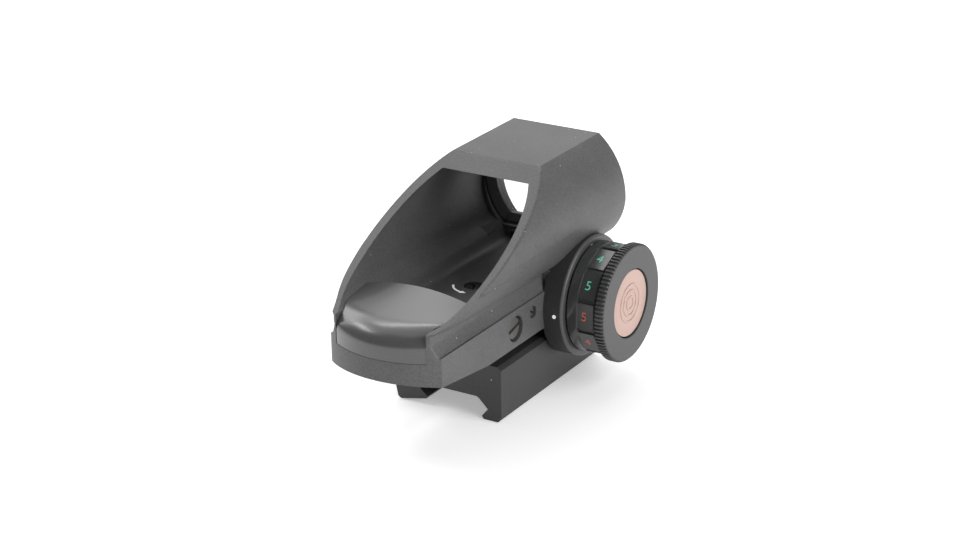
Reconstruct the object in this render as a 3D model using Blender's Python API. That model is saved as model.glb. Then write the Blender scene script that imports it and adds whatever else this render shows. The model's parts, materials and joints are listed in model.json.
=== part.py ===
"""Hooded red dot finder with a rail clamp, an eleven-step brightness dial and a coin cell under its cap.

Frame: +Z up, +Y towards the target, -Y towards the eye, +X towards the dial.
The origin is the centre of the clamp's seat, the face that rests on the rail.
Sizes below are in millimetres; meshes are built in metres.
"""

import math

import bmesh
import bpy
from mathutils import Matrix, Vector

MM = 0.001
GAP = 0.3                      # space kept between pieces that touch

# Hood: a tube with a flat top, cut on a slope towards the eye.
AXIS_Z = 37.4                  # height of the hood's axis above the rail seat
HOOD_R = 20.4
HOOD_TOP = 16.1                # flat top above the axis
SHOULDER_DROP = 0.7            # below this under the axis the round side turns in towards the waist
HOOD_FOOT = [(11.6, 24.9), (15.1, 27.2), (16.2, 27.9), (17.1, 28.8), (18.1, 30.2), (19.05, 31.9),
             (19.75, 33.7), (20.15, 35.2)]     # outside of the hood from the waist to its round side, (x, z)
FRONT_Y = 28.3
BORE_R = 18.0                  # inside of the hood
BORE_TOP = 13.1                # inside ceiling above the axis
FLOOR_Z = 23.6                 # inside floor
BORE_KNEE_Z = 30.0             # below this the inside narrows towards the floor
BORE_FOOT = [(8.0, 23.6), (9.2, 23.75), (10.1, 24.2), (10.8, 24.85), (11.4, 25.6), (12.0, 26.35),
             (12.75, 27.0), (13.6, 27.65), (14.5, 28.25), (15.5, 28.9)]     # from the floor up to the knee
BORE_END_Y = 21.2              # the front wall starts here
RIM_TOP_Y = -1.0               # the sloping rim leaves the flat top here
RIM_LOW_Y = -48.0
RIM_LOW_Z = 30.1
RIM_SAG = 0.6                  # the rim is very slightly hollow along its slope
RIM_END_Y = -60.0
RIM_END_Z = 27.4
TAPER_PER_MM = 0.0016          # the hood narrows towards the eye
TAIL_START_Y = -40.0           # behind this its sides also curve in
TAIL_LENGTH = 14.0
TAIL_SHARE = 0.10

# Base: straight sides, a rear face that is an arc in plan, a waist between base and hood.
HALF_WIDTH = 15.5
BASE_Z = 12.7
LEDGE_Z = 22.4
PLAN_R = 24.6
REAR_Y = -57.3
WAIST = [(15.0, 22.4), (14.5, 23.3), (13.9, 24.6), (13.5, 25.8), (13.4, 28.0)]   # its side, as (x, z)
LIFT_Y = -31.0                 # behind this the underside sweeps up
LIFT_END_Z = 16.0
PEDESTAL_X = 9.0
PEDESTAL_Y = 24.0

# Tunnel in the base that holds the lamp arm.
TUNNEL_X = 9.5
TUNNEL_LOW_Z = 14.2
TUNNEL_TOP_Z = 20.4
TUNNEL_FRONT_Y = 6.0
TUNNEL_REAR_Y = -50.0
TUNNEL_STEP_Y = -36.0
TUNNEL_STEP_Z = 16.2

# Glossy cover over the lamp, in a window of the base's rear end.
WINDOW_X = 12.6
WINDOW_Z = 21.1
WINDOW_FRONT_Y = -36.4
COVER_REAR_Z = 28.3
COVER_FRONT_Y = -36.8
COVER_FRONT_Z = 32.0
COVER_CROWN = 1.5              # the middle of its front edge stands this much above the sides
COVER_ROUND = 4.2              # height and length of its rounded rear edge
COVER_RUN = 6.5
COVER_WALL = 1.3
SOLID_REAR_Y = -50.5           # behind this the cover is solid, for its two screws
COVER_SCREW_X = 7.0
COVER_SCREW_Y = -52.9
COVER_HOLE_TOP_Z = 25.4
LAMP_Z = 25.9

# Lens in its frame: a disc cut flat above and below, leaning back a little at the top.
LENS_Y = 24.4
LENS_Z = 39.0
LENS_LEAN = math.radians(6.0)
LENS_R = 15.0                  # clear opening
LENS_HALF_HEIGHT = 9.9
FRAME_R = 17.0
FRAME_HALF_HEIGHT = 11.7
FRAME_REAR = -3.0              # ends of the frame along its axis, from the lens plane
FRAME_FRONT = 1.3
MOUTH_R = 16.0                 # opening in the front face
MOUTH_HALF_HEIGHT = 11.0
PAD_X = 8.4                    # rubber pad under the frame
PAD_Y = 19.4
PAD_TOP_Z = 26.0

# Boss, dial and battery cap on the right-hand side.
DIAL_Y = 10.3
DIAL_Z = 17.2
BOSS_R = 15.6
BOSS_X = 20.9
BOSS_START_X = 15.0
BOSS_WEB_Y = 12.4              # half length of the web between the waist and the boss
BOSS_WEB_Z = 27.0
BOSS_CHAMFER = 0.7
SWITCH_R = 11.5
SWITCH_FLOOR_X = 16.8
DIAL_R = 14.2
DIAL_END_X = 28.8
DIAL_STEPS = 11
CAP_R = 15.1
CAP_START_X = 29.3
CAP_END_X = 31.9
INLAY_R = 8.6
DETENT_UP = 13.1               # detent hole above the dial's axis
DETENT_FLOOR_X = 17.6
DOT_X = 18.8                   # white index dot on the boss
DOT_ANGLE = math.radians(182.0)
DOT_R = 0.5
WIRE_HOLE = (3.0, 16.0)        # where the lamp lead leaves the switch, as (y, z)
WIRE_HOLE_R = 1.1

# Adjusting screws.
ELEVATION_Y = -12.5
WINDAGE_Y = -18.4
WINDAGE_Z = 17.5
WINDAGE_RECESS_R = 3.3
LOCK_Y = -10.1
LOCK_Z = 18.9
LOCK_R = 1.6

# Lamp arm and its pivot.
PIVOT_Y = 1.0
PIVOT_Z = 18.3
ARM_X = 4.0
ARM_LOW_Z = 17.0
ARM_TOP_Z = 19.1
ARM_REAR_Y = -47.0
POST_X = 3.2                   # post at the arm's rear end that holds the lamp
POST_TOP_Z = 27.8

# Lead from the switch board along the tunnel's right side and up behind the lamp.
LEAD_R = 0.45
LEAD_ROUTE = [(16.2, 3.0, 16.0), (12.0, 3.0, 16.0), (8.4, 2.4, 15.8), (7.2, -1.0, 15.3),
              (7.0, -8.0, 15.2), (7.0, -18.0, 15.2), (7.0, -30.0, 16.6), (7.0, -38.0, 17.2),
              (6.0, -46.9, 17.6), (4.4, -48.7, 19.4), (2.4, -48.8, 22.0), (0.6, -48.7, 25.6)]

# Rail clamp, sized for a 21.2 mm wide cross-slot rail.
CLAMP_Y = 24.1                 # half length
CLAMP_TOP_Z = 9.1
CLAMP_LEFT_X = -7.2
JAW_X = 14.6
JAW_FOOT_Z = -5.7
JAW_TOE_X = 8.95
JAW_VEE_X = 10.7
JAW_VEE_Z = -2.8
PLATE_X = -17.9                # outer face of the swinging plate when upright
PLATE_FOOT_Z = -5.5
PLATE_PIVOT_X = -15.2
PLATE_PIVOT_Z = 6.2
PLATE_LEAN = math.radians(12.0)
PLATE_TONGUE_R = 2.2
PIN_BORE_R = 1.3
EAR_Y = 21.9
CROSS_SCREW_Y = 17.0
CROSS_SCREW_Z = 2.2
MOUNT_SCREW_Y = 8.0

SMOOTH_ANGLE = math.radians(35.0)


# ---------------------------------------------------------------- helpers

def clear_scene():
    for obj in list(bpy.data.objects):
        bpy.data.objects.remove(obj, do_unlink=True)


def material(name, colour, roughness, metallic=0.0, alpha=1.0):
    made = bpy.data.materials.new(name)
    made.use_nodes = True
    shader = made.node_tree.nodes["Principled BSDF"]
    shader.inputs["Base Color"].default_value = (*colour, 1.0)
    shader.inputs["Roughness"].default_value = roughness
    shader.inputs["Metallic"].default_value = metallic
    shader.inputs["Alpha"].default_value = alpha
    return made


def to_axis(axis, across, along):
    """A point from its two coordinates across an axis, in X, Y, Z order, and the one along it."""
    first, second = across
    if axis == "X":
        return Vector((along, first, second))
    if axis == "Y":
        return Vector((first, along, second))
    return Vector((first, second, along))


def add_object(name, bm, look=None, origin=(0, 0, 0)):
    """Makes an object from a mesh in millimetres, with its origin at the given point."""
    bmesh.ops.recalc_face_normals(bm, faces=bm.faces)
    bmesh.ops.transform(bm, matrix=Matrix.Translation(-Vector(origin)), verts=bm.verts)
    bmesh.ops.scale(bm, vec=(MM, MM, MM), verts=bm.verts)
    mesh = bpy.data.meshes.new(name)
    bm.to_mesh(mesh)
    bm.free()
    mesh.shade_smooth()
    mesh.set_sharp_from_angle(angle=SMOOTH_ANGLE)
    obj = bpy.data.objects.new(name, mesh)
    obj.location = Vector(origin) * MM
    bpy.context.scene.collection.objects.link(obj)
    if look is None:
        obj.hide_render = True
        obj.display_type = "WIRE"
    else:
        mesh.materials.append(look)
    return obj


def boolean(target, tool, operation):
    modifier = target.modifiers.new(f"{operation.lower()}_{tool.name}", "BOOLEAN")
    modifier.operation = operation
    modifier.object = tool
    modifier.solver = "EXACT"


def cut(target, *tools):
    for tool in tools:
        boolean(target, tool, "DIFFERENCE")


def join(target, *tools):
    for tool in tools:
        boolean(target, tool, "UNION")


def loft(rings):
    """A closed mesh through rings of equally many points, capped at both ends."""
    bm = bmesh.new()
    made = [[bm.verts.new(point) for point in ring] for ring in rings]
    count = len(made[0])
    for lower, upper in zip(made[:-1], made[1:]):
        for i in range(count):
            j = (i + 1) % count
            bm.faces.new((lower[i], lower[j], upper[j], upper[i]))
    bm.faces.new(made[0][::-1])
    bm.faces.new(made[-1])
    return bm


def prism(axis, outline, low, high):
    return loft([[to_axis(axis, point, at) for point in outline] for at in (low, high)])


def box(low, high):
    outline = [(low[0], low[1]), (high[0], low[1]), (high[0], high[1]), (low[0], high[1])]
    return prism("Z", outline, low[2], high[2])


def arc(centre, radius, start, end, count):
    """Points on an arc; angles in degrees from the first coordinate towards the second."""
    points = []
    for i in range(count + 1):
        angle = math.radians(start + (end - start) * i / count)
        points.append((centre[0] + radius * math.cos(angle), centre[1] + radius * math.sin(angle)))
    return points


def circle(centre, radius, count):
    return arc(centre, radius, 0.0, 360.0, count)[:-1]


def turned(axis, centre, profile, count=40):
    """A solid of revolution; profile is (radius, along) from one end of the axis to the other."""
    return loft([[to_axis(axis, point, along) for point in circle(centre, radius, count)]
                 for radius, along in profile])


def cylinder(axis, centre, radius, low, high, count=32):
    return turned(axis, centre, [(radius, low), (radius, high)], count)


def ring(axis, centre, outer, inner, low, high, count=40):
    """A washer or tube: its two walls and two annular faces."""
    bm = bmesh.new()
    loops = []
    for radius, along in ((outer, low), (outer, high), (inner, high), (inner, low)):
        loops.append([bm.verts.new(to_axis(axis, point, along)) for point in circle(centre, radius, count)])
    for a, b in zip(loops, loops[1:] + loops[:1]):
        for i in range(count):
            j = (i + 1) % count
            bm.faces.new((a[i], a[j], b[j], b[i]))
    return bm


def sphere(centre, radius):
    bm = bmesh.new()
    bmesh.ops.create_uvsphere(bm, u_segments=16, v_segments=10, radius=radius)
    bmesh.ops.translate(bm, vec=centre, verts=bm.verts)
    return bm


def narrowing(y):
    """How much narrower the hood is at y than at its front."""
    taper = TAPER_PER_MM * max(0.0, -y)
    tail = TAIL_SHARE * (max(0.0, TAIL_START_Y - y) / TAIL_LENGTH) ** 2
    return 1.0 - taper - tail


def hood_stations(front, rear):
    inner = [y for y in (-2.0, -20.0, -40.0, -44.0, -48.0, -51.0, -54.0) if rear < y < front]
    return [front, *inner, rear]


def narrowed_loft(outline, front, rear):
    """The outline (x, z) drawn along Y and narrowed towards the eye with the hood."""
    stations = hood_stations(front, rear)
    return loft([[Vector((x * narrowing(y), y, z)) for x, z in outline] for y in stations])


def flat_circle(centre_z, radius, top, bottom, count):
    """A circle about x = 0 cut flat above and below its centre, as (x, z)."""
    high = math.degrees(math.asin(top / radius))
    low = math.degrees(math.asin(bottom / radius))
    right = arc((0.0, centre_z), radius, -low, high, count)
    left = arc((0.0, centre_z), radius, 180.0 - high, 180.0 + low, count)
    return right + left


def plan_arc(radius, half_width, count):
    """Rear outline of the base in plan, left to right, as (x, y)."""
    centre_y = REAR_Y + PLAN_R
    half_angle = math.degrees(math.asin(half_width / radius))
    return arc((0.0, centre_y), radius, 270.0 - half_angle, 270.0 + half_angle, count)


# ---------------------------------------------------------------- housing

def rim_outline():
    """Side view (y, z) of what the slope takes off the hood."""
    top_z = AXIS_Z + HOOD_TOP
    points = []
    for i in range(9):
        share = i / 8
        y = RIM_TOP_Y + (RIM_LOW_Y - RIM_TOP_Y) * share
        z = top_z + (RIM_LOW_Z - top_z) * share - RIM_SAG * 4 * share * (1 - share)
        points.append((y, z))
    points.append((-53.0, 28.6))
    points.append((RIM_END_Y, RIM_END_Z))
    points.append((RIM_END_Y, top_z + 6.0))
    points.append((RIM_TOP_Y + 3.2, top_z + 6.0))
    return points


def hood_outline():
    high = math.degrees(math.asin(HOOD_TOP / HOOD_R))
    low = math.degrees(math.asin(SHOULDER_DROP / HOOD_R))
    right = arc((0.0, AXIS_Z), HOOD_R, -low, high, 14)
    half = HOOD_FOOT + right
    return half + [(-x, z) for x, z in reversed(half)]


def bore_outline(inset):
    """Inside of the hood as (x, z): a round tube, a flat ceiling and a foot that runs into the floor."""
    radius = BORE_R - inset
    start = math.degrees(math.asin((AXIS_Z - BORE_KNEE_Z) / BORE_R))
    high = math.degrees(math.asin(BORE_TOP / radius))
    right = arc((0.0, AXIS_Z), radius, -start, high, 13)
    half = [(x - inset, z + inset) for x, z in BORE_FOOT] + right
    return half + [(-x, z) for x, z in reversed(half)]


def waist_outline():
    """End view (x, z) of the waist, which leans in from the ledge on top of the base."""
    half = [(WAIST[0][0], LEDGE_Z - 1.0), *WAIST]
    return half + [(-x, z) for x, z in reversed(half)]


def base_outline():
    """Side view (y, z) of the base block."""
    rear = REAR_Y - 2.0
    return [(FRONT_Y, BASE_Z), (FRONT_Y, LEDGE_Z), (rear, LEDGE_Z), (rear, LIFT_END_Z), (LIFT_Y, BASE_Z)]


def tunnel_outline():
    """Side view (y, z) of the tunnel; its floor steps up with the underside."""
    return [(TUNNEL_FRONT_Y, TUNNEL_LOW_Z), (TUNNEL_FRONT_Y, TUNNEL_TOP_Z), (TUNNEL_REAR_Y, TUNNEL_TOP_Z),
            (TUNNEL_REAR_Y, TUNNEL_STEP_Z), (TUNNEL_STEP_Y, TUNNEL_STEP_Z), (TUNNEL_STEP_Y, TUNNEL_LOW_Z)]


def build_housing(look):
    housing = add_object("housing", narrowed_loft(hood_outline(), FRONT_Y, REAR_Y - 2.0), look)
    base = add_object("tool_base", prism("X", base_outline(), -HALF_WIDTH, HALF_WIDTH))
    waist = add_object("tool_waist", prism("Y", waist_outline(), FRONT_Y - 0.4, REAR_Y - 2.0))
    pedestal = add_object("tool_pedestal", box((-PEDESTAL_X, -PEDESTAL_Y, CLAMP_TOP_Z + GAP),
                                               (PEDESTAL_X, PEDESTAL_Y, BASE_Z + 1.0)))
    boss = add_object("tool_boss", turned("X", (DIAL_Y, DIAL_Z), [
        (BOSS_R, BOSS_START_X), (BOSS_R, BOSS_X - BOSS_CHAMFER), (BOSS_R - BOSS_CHAMFER, BOSS_X)], 56))
    web = add_object("tool_boss_web", box((WAIST[-1][0] - 0.5, DIAL_Y - BOSS_WEB_Y, LEDGE_Z - 0.5),
                                          (BOSS_START_X + 0.5, DIAL_Y + BOSS_WEB_Y, BOSS_WEB_Z)))
    join(housing, base, waist, pedestal, boss, web)

    plan = [(-24.0, FRONT_Y + 1.0), *plan_arc(PLAN_R, 22.0, 28), (24.0, FRONT_Y + 1.0)]
    outline = add_object("tool_plan", prism("Z", plan, -1.0, 70.0))
    boolean(housing, outline, "INTERSECT")

    bore = narrowed_loft(bore_outline(0.0), BORE_END_Y, REAR_Y - 4.0)
    mouth = flat_circle(LENS_Z, MOUTH_R, MOUTH_HALF_HEIGHT, MOUTH_HALF_HEIGHT, 12)
    seat = leaning_disc(FRAME_R + GAP, FRAME_HALF_HEIGHT + GAP, -12.0, FRAME_FRONT + GAP)
    lamp_slot = box((-6.0, TUNNEL_REAR_Y + 0.4, TUNNEL_TOP_Z - 1.0), (6.0, -40.0, 30.0))
    dial_axis = (DIAL_Y, DIAL_Z)
    windage_axis = (WINDAGE_Y, WINDAGE_Z)
    detent_axis = (DIAL_Y, DIAL_Z + DETENT_UP)
    cut(housing,
        add_object("tool_rim", prism("X", rim_outline(), -30.0, 30.0)),
        add_object("tool_bore", bore),
        add_object("tool_mouth", prism("Y", mouth, 10.0, FRONT_Y + 2.0)),
        add_object("tool_seat", seat),
        add_object("tool_window", box((-WINDOW_X, REAR_Y - 4.0, WINDOW_Z), (WINDOW_X, WINDOW_FRONT_Y, 45.0))),
        add_object("tool_tunnel", prism("X", tunnel_outline(), -TUNNEL_X, TUNNEL_X)),
        add_object("tool_lamp_slot", lamp_slot),
        add_object("tool_switch", cylinder("X", dial_axis, SWITCH_R, SWITCH_FLOOR_X, 24.0, 48)),
        add_object("tool_dial_screw", cylinder("X", dial_axis, 1.8, 11.5, 18.0, 16)),
        add_object("tool_wire", cylinder("X", WIRE_HOLE, WIRE_HOLE_R, 8.5, 18.0, 12)),
        add_object("tool_detent", cylinder("X", detent_axis, 1.1, DETENT_FLOOR_X, BOSS_X + 1.0, 12)),
        add_object("tool_elevation_head", cylinder("Z", (0.0, ELEVATION_Y), 2.5, 22.0, 25.0, 24)),
        add_object("tool_elevation", cylinder("Z", (0.0, ELEVATION_Y), 1.7, 19.5, 23.0, 16)),
        add_object("tool_windage_head", cylinder("X", windage_axis, WINDAGE_RECESS_R, 13.6, 17.0, 24)),
        add_object("tool_windage", cylinder("X", windage_axis, 1.8, 8.5, 14.5, 16)),
        add_object("tool_lock", cylinder("X", (LOCK_Y, LOCK_Z), LOCK_R, 8.5, 17.0, 16)),
        add_object("tool_trunnion", cylinder("Z", (0.0, PIVOT_Y), 1.1, 13.0, 21.8, 16)))
    for end, y in (("rear", -MOUNT_SCREW_Y), ("front", MOUNT_SCREW_Y)):
        cut(housing, add_object(f"tool_mount_{end}", cylinder("Z", (0.0, y), 2.3, 8.0, 13.4, 16)))
    for side, x in (("left", -COVER_SCREW_X), ("right", COVER_SCREW_X)):
        hole = (x, COVER_SCREW_Y)
        cut(housing,
            add_object(f"tool_cover_screw_{side}", cylinder("Z", hole, 1.4, 12.0, 22.0, 12)),
            add_object(f"tool_cover_head_{side}", cylinder("Z", hole, 2.2, 12.0, 17.6, 16)))


def leaning_disc(radius, half_height, rear, front, count=14):
    """The lens frame's outline as a solid from rear to front of the lens plane, leaning back at the top."""
    bm = prism("Y", flat_circle(0.0, radius, half_height, half_height, count), rear, front)
    lean = Matrix.Translation((0.0, LENS_Y, LENS_Z)) @ Matrix.Rotation(LENS_LEAN, 4, "X")
    bmesh.ops.transform(bm, matrix=lean, verts=bm.verts)
    return bm


def build_optics(dark, glass, rubber):
    frame = add_object("lens_frame", leaning_disc(FRAME_R, FRAME_HALF_HEIGHT, FRAME_REAR, FRAME_FRONT), dark)
    cut(frame,
        add_object("tool_lens_opening", leaning_disc(LENS_R, LENS_HALF_HEIGHT, -4.0, 4.0)),
        add_object("tool_lens_pocket", leaning_disc(LENS_R + 1.0, LENS_HALF_HEIGHT + 0.9, -0.5, 4.0)))
    add_object("lens", leaning_disc(LENS_R + 0.7, LENS_HALF_HEIGHT + 0.6, -0.2, 1.3, 20), glass)
    add_object("lens_pad", box((-PAD_X, PAD_Y, FLOOR_Z + GAP), (PAD_X, BORE_END_Y - GAP, PAD_TOP_Z)), rubber)


# ---------------------------------------------------------------- lamp cover and lamp arm

def cover_top(x, y):
    """Height of the lamp cover's top before rounding: a slope, crowned more towards its front."""
    share = (y - REAR_Y) / (COVER_FRONT_Y - REAR_Y)
    return COVER_REAR_Z + (COVER_FRONT_Z - COVER_REAR_Z) * share - COVER_CROWN * share * (x / WINDOW_X) ** 2


def cover_block():
    """The cover before it is fitted to the hood: crowned across, its rear edge rounded along the arc."""
    low = WINDOW_Z + GAP
    rear_r = PLAN_R - 0.1
    centre_y = REAR_Y + PLAN_R
    rings = []
    for i in range(17):
        x = 17.0 * (i / 8 - 1.0)
        rear = centre_y - math.sqrt(rear_r ** 2 - x ** 2)
        ring = [Vector((x, rear, low))]
        for angle in (0, 18, 36, 54, 72, 90):
            turn = math.radians(angle)
            y = rear + COVER_RUN * (1.0 - math.cos(turn))
            ring.append(Vector((x, y, cover_top(x, y) - COVER_ROUND * (1.0 - math.sin(turn)))))
        for share in (0.33, 0.67, 1.0):
            y = rear + COVER_RUN + (COVER_FRONT_Y - rear - COVER_RUN) * share
            ring.append(Vector((x, y, cover_top(x, y))))
        ring.append(Vector((x, COVER_FRONT_Y, low)))
        rings.append(ring)
    return loft(rings)


def build_cover(gloss, steel, clear):
    cover = add_object("lamp_cover", cover_block(), gloss)
    fit = add_object("tool_cover_fit", narrowed_loft(bore_outline(GAP), WINDOW_FRONT_Y + 3.0, REAR_Y - 4.0))
    window_x = WINDOW_X - GAP
    tongue = box((-window_x, REAR_Y - 4.0, WINDOW_Z + 0.1), (window_x, WINDOW_FRONT_Y - GAP, 34.0))
    join(fit, add_object("tool_cover_tongue", tongue))
    boolean(cover, fit, "INTERSECT")
    front = COVER_FRONT_Y - COVER_WALL
    hollow = [(y, cover_top(8.0, y) - COVER_WALL) for y in (front, SOLID_REAR_Y)]
    hollow += [(SOLID_REAR_Y, 19.0), (front, 19.0)]
    cut(cover,
        add_object("tool_cover_hollow", prism("X", hollow, -11.0, 11.0)),
        add_object("tool_lamp_window", cylinder("Y", (0.0, LAMP_Z), 2.5, -40.0, -34.0, 20)))
    for side, x in (("left", -COVER_SCREW_X), ("right", COVER_SCREW_X)):
        hole = (x, COVER_SCREW_Y)
        thread = cylinder("Z", hole, 1.4, 20.0, COVER_HOLE_TOP_Z, 12)
        cut(cover, add_object(f"tool_cover_thread_{side}", thread))
        screw = turned("Z", hole, [(1.9, 16.2), (1.9, 17.3), (1.1, 17.3), (1.1, COVER_HOLE_TOP_Z - GAP)], 16)
        add_object(f"cover_screw_{side}", screw, steel)
    window = cylinder("Y", (0.0, LAMP_Z), 2.2, COVER_FRONT_Y - 1.3, COVER_FRONT_Y - 0.2, 20)
    add_object("lamp_window", window, clear)


def build_arm(dark, brass, red, black, steel):
    pivot = (0.0, PIVOT_Y, PIVOT_Z)
    bar = box((-ARM_X, ARM_REAR_Y, ARM_LOW_Z), (ARM_X, PIVOT_Y + 2.0, ARM_TOP_Z))
    post = box((-POST_X, ARM_REAR_Y + 0.1, ARM_TOP_Z - 1.0), (POST_X, ARM_REAR_Y + 2.6, POST_TOP_Z))
    lamp_hole = cylinder("Y", (0.0, LAMP_Z), 1.65, ARM_REAR_Y - 1.0, ARM_REAR_Y + 4.0, 16)
    fork = box((-3.0, PIVOT_Y - 2.6, ARM_LOW_Z - 1.0), (3.0, PIVOT_Y + 3.0, ARM_TOP_Z + 1.0))
    arm = add_object("lamp_arm", bar, dark, pivot)
    join(arm, add_object("tool_lamp_post", post))
    cut(arm,
        add_object("tool_fork", fork),
        add_object("tool_arm_pin", cylinder("X", (PIVOT_Y, PIVOT_Z), 1.1, -5.0, 5.0, 12)),
        add_object("tool_lamp_hole", lamp_hole))
    block = box((-2.6, PIVOT_Y - 2.0, TUNNEL_LOW_Z + GAP), (2.6, PIVOT_Y + 2.0, TUNNEL_TOP_Z - GAP))
    yoke = add_object("arm_yoke", block, brass, pivot)
    join(yoke, add_object("tool_yoke_trunnion", cylinder("Z", (0.0, PIVOT_Y), 1.0, 13.3, 21.5, 16)))
    cut(yoke, add_object("tool_yoke_pin", cylinder("X", (PIVOT_Y, PIVOT_Z), 1.1, -5.0, 5.0, 12)))
    add_object("arm_pin", cylinder("X", (PIVOT_Y, PIVOT_Z), 0.8, -ARM_X, ARM_X, 12), steel, pivot)
    lamp = turned("Y", (0.0, LAMP_Z), [
        (1.6, ARM_REAR_Y - 0.9), (1.6, ARM_REAR_Y - 0.3), (1.35, ARM_REAR_Y - 0.3), (1.35, ARM_REAR_Y + 3.4),
        (1.2, ARM_REAR_Y + 4.1), (0.8, ARM_REAR_Y + 4.6), (0.2, ARM_REAR_Y + 4.8)], 16)
    add_object("lamp", lamp, red, pivot)
    add_object("lamp_lead", swept_tube(LEAD_ROUTE, LEAD_R), black, pivot)


def swept_tube(route, radius, sides=8):
    """A round tube along a smooth curve through the route's points, with flat ends."""
    points = [Vector(p) for p in route]
    dense = []
    for i in range(len(points) - 1):
        before = points[max(0, i - 1)]
        after = points[min(len(points) - 1, i + 2)]
        for step in range(3):
            t = step / 3
            dense.append(0.5 * ((2 * points[i]) + (points[i + 1] - before) * t
                                + (2 * before - 5 * points[i] + 4 * points[i + 1] - after) * t * t
                                + (3 * points[i] - before - 3 * points[i + 1] + after) * t ** 3))
    dense.append(points[-1])
    rings = []
    side = Vector((0.0, 0.0, 1.0))
    for i, point in enumerate(dense):
        ahead = dense[min(i + 1, len(dense) - 1)] - dense[max(i - 1, 0)]
        ahead.normalize()
        side = (side - ahead * side.dot(ahead)).normalized()
        up = ahead.cross(side)
        rings.append([point + radius * (math.cos(a) * side + math.sin(a) * up)
                      for a in (2 * math.pi * k / sides for k in range(sides))])
    return loft(rings)


def build_springs(steel):
    """Two bent leaf springs that keep the arm against the adjusting screws."""
    thickness = 0.25
    down = [(-4.0, 14.75), (-8.0, 15.5), (-12.5, 16.4), (-17.0, 15.5), (-21.0, 14.75)]
    strip = down + [(y, z - thickness) for y, z in reversed(down)]
    add_object("elevation_spring", prism("X", strip, -2.6, 2.6), steel)
    sideways = [(-9.05, -10.0), (-7.2, -14.0), (-5.1, -18.4), (-7.2, -22.8), (-9.05, -26.8)]
    strip = sideways + [(x - thickness, y) for x, y in reversed(sideways)]
    add_object("windage_spring", prism("Z", strip, 17.2, 19.4), steel)


def slotted_screw(name, axis, centre, profile, slot_half, look, count=24):
    """A turned screw with a driver slot across the end of its profile."""
    origin = to_axis(axis, centre, profile[-1][1])
    screw = add_object(name, turned(axis, centre, profile, count), look, origin)
    end = profile[-1][1]
    depth = 0.7 if profile[-1][0] > 1.5 else 0.8
    low = to_axis(axis, (centre[0] - slot_half, centre[1] - 4.0), end - depth)
    high = to_axis(axis, (centre[0] + slot_half, centre[1] + 4.0), end + 1.0)
    tool = box([min(a, b) for a, b in zip(low, high)], [max(a, b) for a, b in zip(low, high)])
    cut(screw, add_object(f"tool_slot_{name}", tool))
    return screw


def build_adjusters(steel):
    slotted_screw("elevation_screw", "Z", (0.0, ELEVATION_Y),
                  [(1.3, 19.5), (1.3, 22.3), (2.2, 22.3), (2.2, 23.3)], 0.35, steel)
    slotted_screw("windage_screw", "X", (WINDAGE_Y, WINDAGE_Z),
                  [(1.4, 4.6), (1.4, 13.9), (2.95, 13.9), (2.95, 14.9)], 0.4, steel)
    slotted_screw("lock_screw", "X", (LOCK_Y, LOCK_Z),
                  [(1.25, 5.2), (1.25, 14.8)], 0.25, steel, 16)


# ---------------------------------------------------------------- dial and battery

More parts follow.
